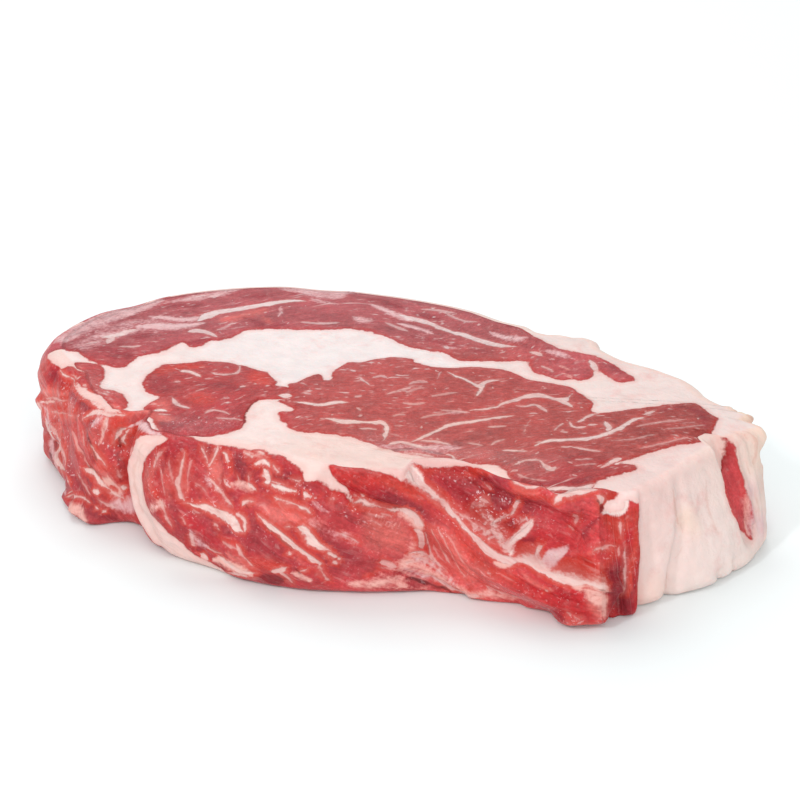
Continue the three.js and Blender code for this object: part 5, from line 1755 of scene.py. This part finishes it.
def fat_look(tree, noises, inside):
    """Cream of the fat, blushed pink beside the lean and in faint blood stains."""
    colour = add(tree, "Attribute", output="Vector", attribute_name="fat_colour")
    cloud = add(tree, "TexNoise", {"Vector": noises["place"], "Scale": PER_METRE / CLOUD_SIZE,
                                   "Detail": 4.0})
    light = add(tree, "MapRange", {"Value": cloud, "From Min": 0.25, "From Max": 0.75,
                                   "To Min": 0.93, "To Max": 1.04})
    scaled = add(tree, "VectorMath", {0: colour, "Scale": light}, operation="SCALE")
    blush = add(tree, "MapRange", {"Value": inside, "From Min": -2.2, "From Max": 0.0, "To Max": 0.35})
    outside = add(tree, "MapRange", {"Value": inside, "From Min": 0.3, "From Max": 1.2,
                                     "To Min": 1.0, "To Max": 0.15})
    blush = add(tree, "Math", {0: blush, 1: outside}, operation="MULTIPLY")
    tint_amount = add(tree, "TexNoise", {"Vector": noises["place"], "Scale": PER_METRE / STAIN_SIZE,
                                   "Detail": 5.0, "Roughness": 0.65})
    tint_amount = add(tree, "MapRange", {"Value": tint_amount, "From Min": 0.54, "From Max": 0.74, "To Max": 0.35})
    pink = add(tree, "Math", {0: blush, 1: tint_amount}, operation="MAXIMUM")
    return add(tree, "Mix", {0: pink, 6: scaled, 7: opaque(BLUSH)}, **COLOUR_MIX)


# %% Surface of the meat
# sizes in millimetres of the lumps of fat, the beads of juice and the painted glints
FAT_LUMP, BEAD, GLINT_SIZE = 2.4, 0.9, 0.8
MEAT_DEPTH, JUICE_DEPTH = 0.6 * MM, 0.7 * MM


def meat_bump(tree, noises, fat):
    """Normal with the fibres and grain of cut lean, and the softer lumps of fat."""
    lean_height = add(tree, "Math", {0: noises["grit"], 1: 0.6, 2: noises["fibres"]},
                      operation="MULTIPLY_ADD")
    lean_height = add(tree, "Math", {0: noises["bundles"], 1: 1.4, 2: lean_height},
                      operation="MULTIPLY_ADD")
    fat_height = add(tree, "TexNoise", {"Vector": noises["place"], "Scale": PER_METRE / FAT_LUMP,
                                        "Detail": 3.0})
    height = add(tree, "Mix", {0: fat, 2: lean_height, 3: fat_height}, data_type="FLOAT")
    return add(tree, "Bump", {"Height": height, "Strength": 0.6, "Distance": MEAT_DEPTH})


def juice_bump(tree, noises):
    """Normal of the film of juice, which beads up in drops under a millimetre and glints."""
    beads = add(tree, "TexNoise", {"Vector": noises["place"], "Scale": PER_METRE / BEAD, "Detail": 1.0})
    return add(tree, "Bump", {"Height": beads, "Strength": 1.0, "Distance": JUICE_DEPTH})


def painted_glint_share(tree, noises):
    """Share of the painted glints: white flecks painted into the colour to stand for glints of light
    on the juice, each about half a millimetre, in loose groups."""
    flecks = add(tree, "TexNoise", {"Vector": noises["place"], "Scale": PER_METRE / GLINT_SIZE,
                                    "Detail": 1.5, "Distortion": 0.6})
    flecks = add(tree, "MapRange", {"Value": flecks, "From Min": 0.61, "From Max": 0.68}, **EASED)
    often = add(tree, "MapRange", {"Value": noises["lumps"], "From Min": 0.44, "From Max": 0.58})
    return add(tree, "Math", {0: flecks, 1: often}, operation="MULTIPLY")


# %% Raw beef
# painted shade of the cracks on lean and on fat, and the colour of the painted glints
CRACK_SHADE_ON_LEAN, CRACK_SHADE_ON_FAT, PAINTED_GLINT = "#5a1016", "#cf9c8c", "#f2dfe2"
LEAN_ROUGHNESS, WET_CHANGE, FAT_ROUGHNESS = 0.46, -0.16, 0.55
DRY_FILM, WET_FILM = 0.04, 0.9
GLINT_WETNESS_POWER = 1.6
SURFACE = {"IOR": 1.38, "Specular IOR Level": 0.22, "Coat Roughness": 0.08, "Coat IOR": 1.34,
           "Subsurface Weight": 0.18, "Subsurface Radius": (1.0, 0.35, 0.28), "Subsurface Scale": 2 * MM}


def raw_beef():
    """Raw beef, freshly knife cut and moist: IOR 1.38 like other wet protein, a clear film of
    juice as a coat, and light that goes in by millimetres, deepest for red."""
    material = bpy.data.materials.new("raw_beef_moist_cut")
    material.use_nodes = True
    tree = material.node_tree
    shader = tree.nodes["Principled BSDF"]
    noises = meat_noises(tree)
    fat, inside = fat_share(tree, noises)
    fat, shaded_cracks, glow = line_shares(tree, noises, fat)
    lean = lean_look(tree, noises, inside, glow)
    colour = add(tree, "Mix", {0: fat, 6: lean, 7: fat_look(tree, noises, inside)}, **COLOUR_MIX)
    # painted shade in the cracks: dark red over lean, a dull tan over fat
    groove = add(tree, "Mix", {0: fat, 6: opaque(CRACK_SHADE_ON_LEAN), 7: opaque(CRACK_SHADE_ON_FAT)}, **COLOUR_MIX)
    colour = add(tree, "Mix", {0: shaded_cracks, 6: colour, 7: groove}, **COLOUR_MIX)
    wet = add(tree, "Attribute", output="Fac", attribute_name="wet")
    # painted highlights: white glints painted into the base colour, most where the meat is wettest
    painted_glints = add(tree, "Math", {0: wet, 1: GLINT_WETNESS_POWER}, operation="POWER")
    painted_glints = add(tree, "Math", {0: painted_glint_share(tree, noises), 1: painted_glints}, operation="MULTIPLY")
    colour = add(tree, "Mix", {0: painted_glints, 6: colour, 7: opaque(PAINTED_GLINT)}, **COLOUR_MIX)
    dull = add(tree, "MapRange", {"Value": noises["lumps"], "From Min": 0.3, "From Max": 0.7,
                                  "To Min": -0.05, "To Max": 0.08})
    rough = add(tree, "Math", {0: wet, 1: WET_CHANGE, 2: LEAN_ROUGHNESS}, operation="MULTIPLY_ADD")
    rough = add(tree, "Mix", {0: fat, 2: rough, 3: FAT_ROUGHNESS}, data_type="FLOAT")
    rough = add(tree, "Math", {0: rough, 1: dull}, operation="ADD")
    film = add(tree, "Math", {0: wet, 1: WET_FILM, 2: DRY_FILM}, operation="MULTIPLY_ADD")
    looks = {"Base Color": colour, "Roughness": rough, "Coat Weight": film,
             "Normal": meat_bump(tree, noises, fat), "Coat Normal": juice_bump(tree, noises)}
    for name, value in looks.items():
        tree.links.new(value, shader.inputs[name])
    for name, value in SURFACE.items():
        shader.inputs[name].default_value = value
    return material


mesh.materials.append(raw_beef())
print("material:", mesh.materials[0].name, "with", len(mesh.materials[0].node_tree.nodes), "nodes")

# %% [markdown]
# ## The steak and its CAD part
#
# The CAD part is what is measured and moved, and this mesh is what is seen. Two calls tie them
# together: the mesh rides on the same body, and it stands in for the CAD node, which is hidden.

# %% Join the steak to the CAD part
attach(steak_meat, "root")
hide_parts("steak")
print("steak_meat stands in for the CAD steak")

# %% [markdown]
# ## The studio
#
# Food is shown on white paper in soft, even light, so that the reds stay true. A big soft light
# overhead and behind gives the cut top its sheen, a small one from the front left makes the wet
# sparkles, together with glints painted into the colour of the wet meat, and a wide one in front
# and a white world fill the shadows.

# %% Floor
FLOOR_SIZE = 6.0
PAPER_COLOUR = (0.87, 0.93, 0.935, 1)
PAPER_ROUGHNESS = 0.9


def pale_floor():
    """Matte white paper, a plain square under the steak."""
    half = FLOOR_SIZE / 2
    floor_mesh = bpy.data.meshes.new("floor")
    corners = [(-half, -half, 0), (half, -half, 0), (half, half, 0), (-half, half, 0)]
    floor_mesh.from_pydata(corners, [], [(0, 1, 2, 3)])
    paper = bpy.data.materials.new("matte_white_paper")
    paper.use_nodes = True
    shader = paper.node_tree.nodes["Principled BSDF"]
    shader.inputs["Base Color"].default_value = PAPER_COLOUR
    shader.inputs["Roughness"].default_value = PAPER_ROUGHNESS
    floor_mesh.materials.append(paper)
    floor = bpy.data.objects.new("floor", floor_mesh)
    bpy.context.collection.objects.link(floor)
    return floor


pale_floor()
print("floor of", FLOOR_SIZE, "metres")

# %% Lights
# name, place, size, watts
LIGHTS = (("overhead_back", (-0.15, 0.75, 1.05), 0.9, 6.0),
          ("front_left", (-0.65, -0.75, 0.85), 0.12, 3.5),
          ("front_fill", (0.1, -1.4, 0.9), 1.2, 9.0))
LIGHT_TARGET = (0.0, 0.0, 0.02)
WORLD_STRENGTH = 0.66


def soft_light(name, place, size, watts):
    """A square soft box that looks from its place at the steak."""
    light = bpy.data.lights.new(name, "AREA")
    light.shape, light.size, light.energy = "SQUARE", size, watts
    lamp = bpy.data.objects.new(name, light)
    bpy.context.collection.objects.link(lamp)
    lamp.location = place
    direction = lamp.location - type(lamp.location)(LIGHT_TARGET)
    lamp.rotation_euler = direction.to_track_quat("Z", "Y").to_euler()


for light_settings in LIGHTS:
    soft_light(*light_settings)
world = bpy.data.worlds.new("white_studio")
world.use_nodes = True
world.node_tree.nodes["Background"].inputs["Color"].default_value = (1, 1, 1, 1)
world.node_tree.nodes["Background"].inputs["Strength"].default_value = WORLD_STRENGTH
bpy.context.scene.world = world
bpy.context.scene.view_settings.view_transform = "Standard"
print(len(LIGHTS), "soft lights and a white world")

# %% [markdown]
# ## Camera
#
# The camera looks down from the front, as someone at a table does, through a long lens that keeps
# the near edge from looking swollen.

# %% Camera
ELEVATION = np.radians(26.0)
DISTANCE = 0.650
TARGET = np.array([2.70, -9.44, THICKNESS]) * MM
camera_data = bpy.data.cameras.new("camera")
camera_data.lens = 100.0
camera_data.sensor_width = 36.0
camera_data.clip_end = 20.0
camera = bpy.data.objects.new("camera", camera_data)
bpy.context.collection.objects.link(camera)
camera.location = TARGET + DISTANCE * np.array([0, -np.cos(ELEVATION), np.sin(ELEVATION)])
camera.rotation_euler = (np.pi / 2 - ELEVATION, 0, 0)
bpy.context.scene.camera = camera
print("camera looks down at", round(float(np.degrees(ELEVATION))), "degrees")
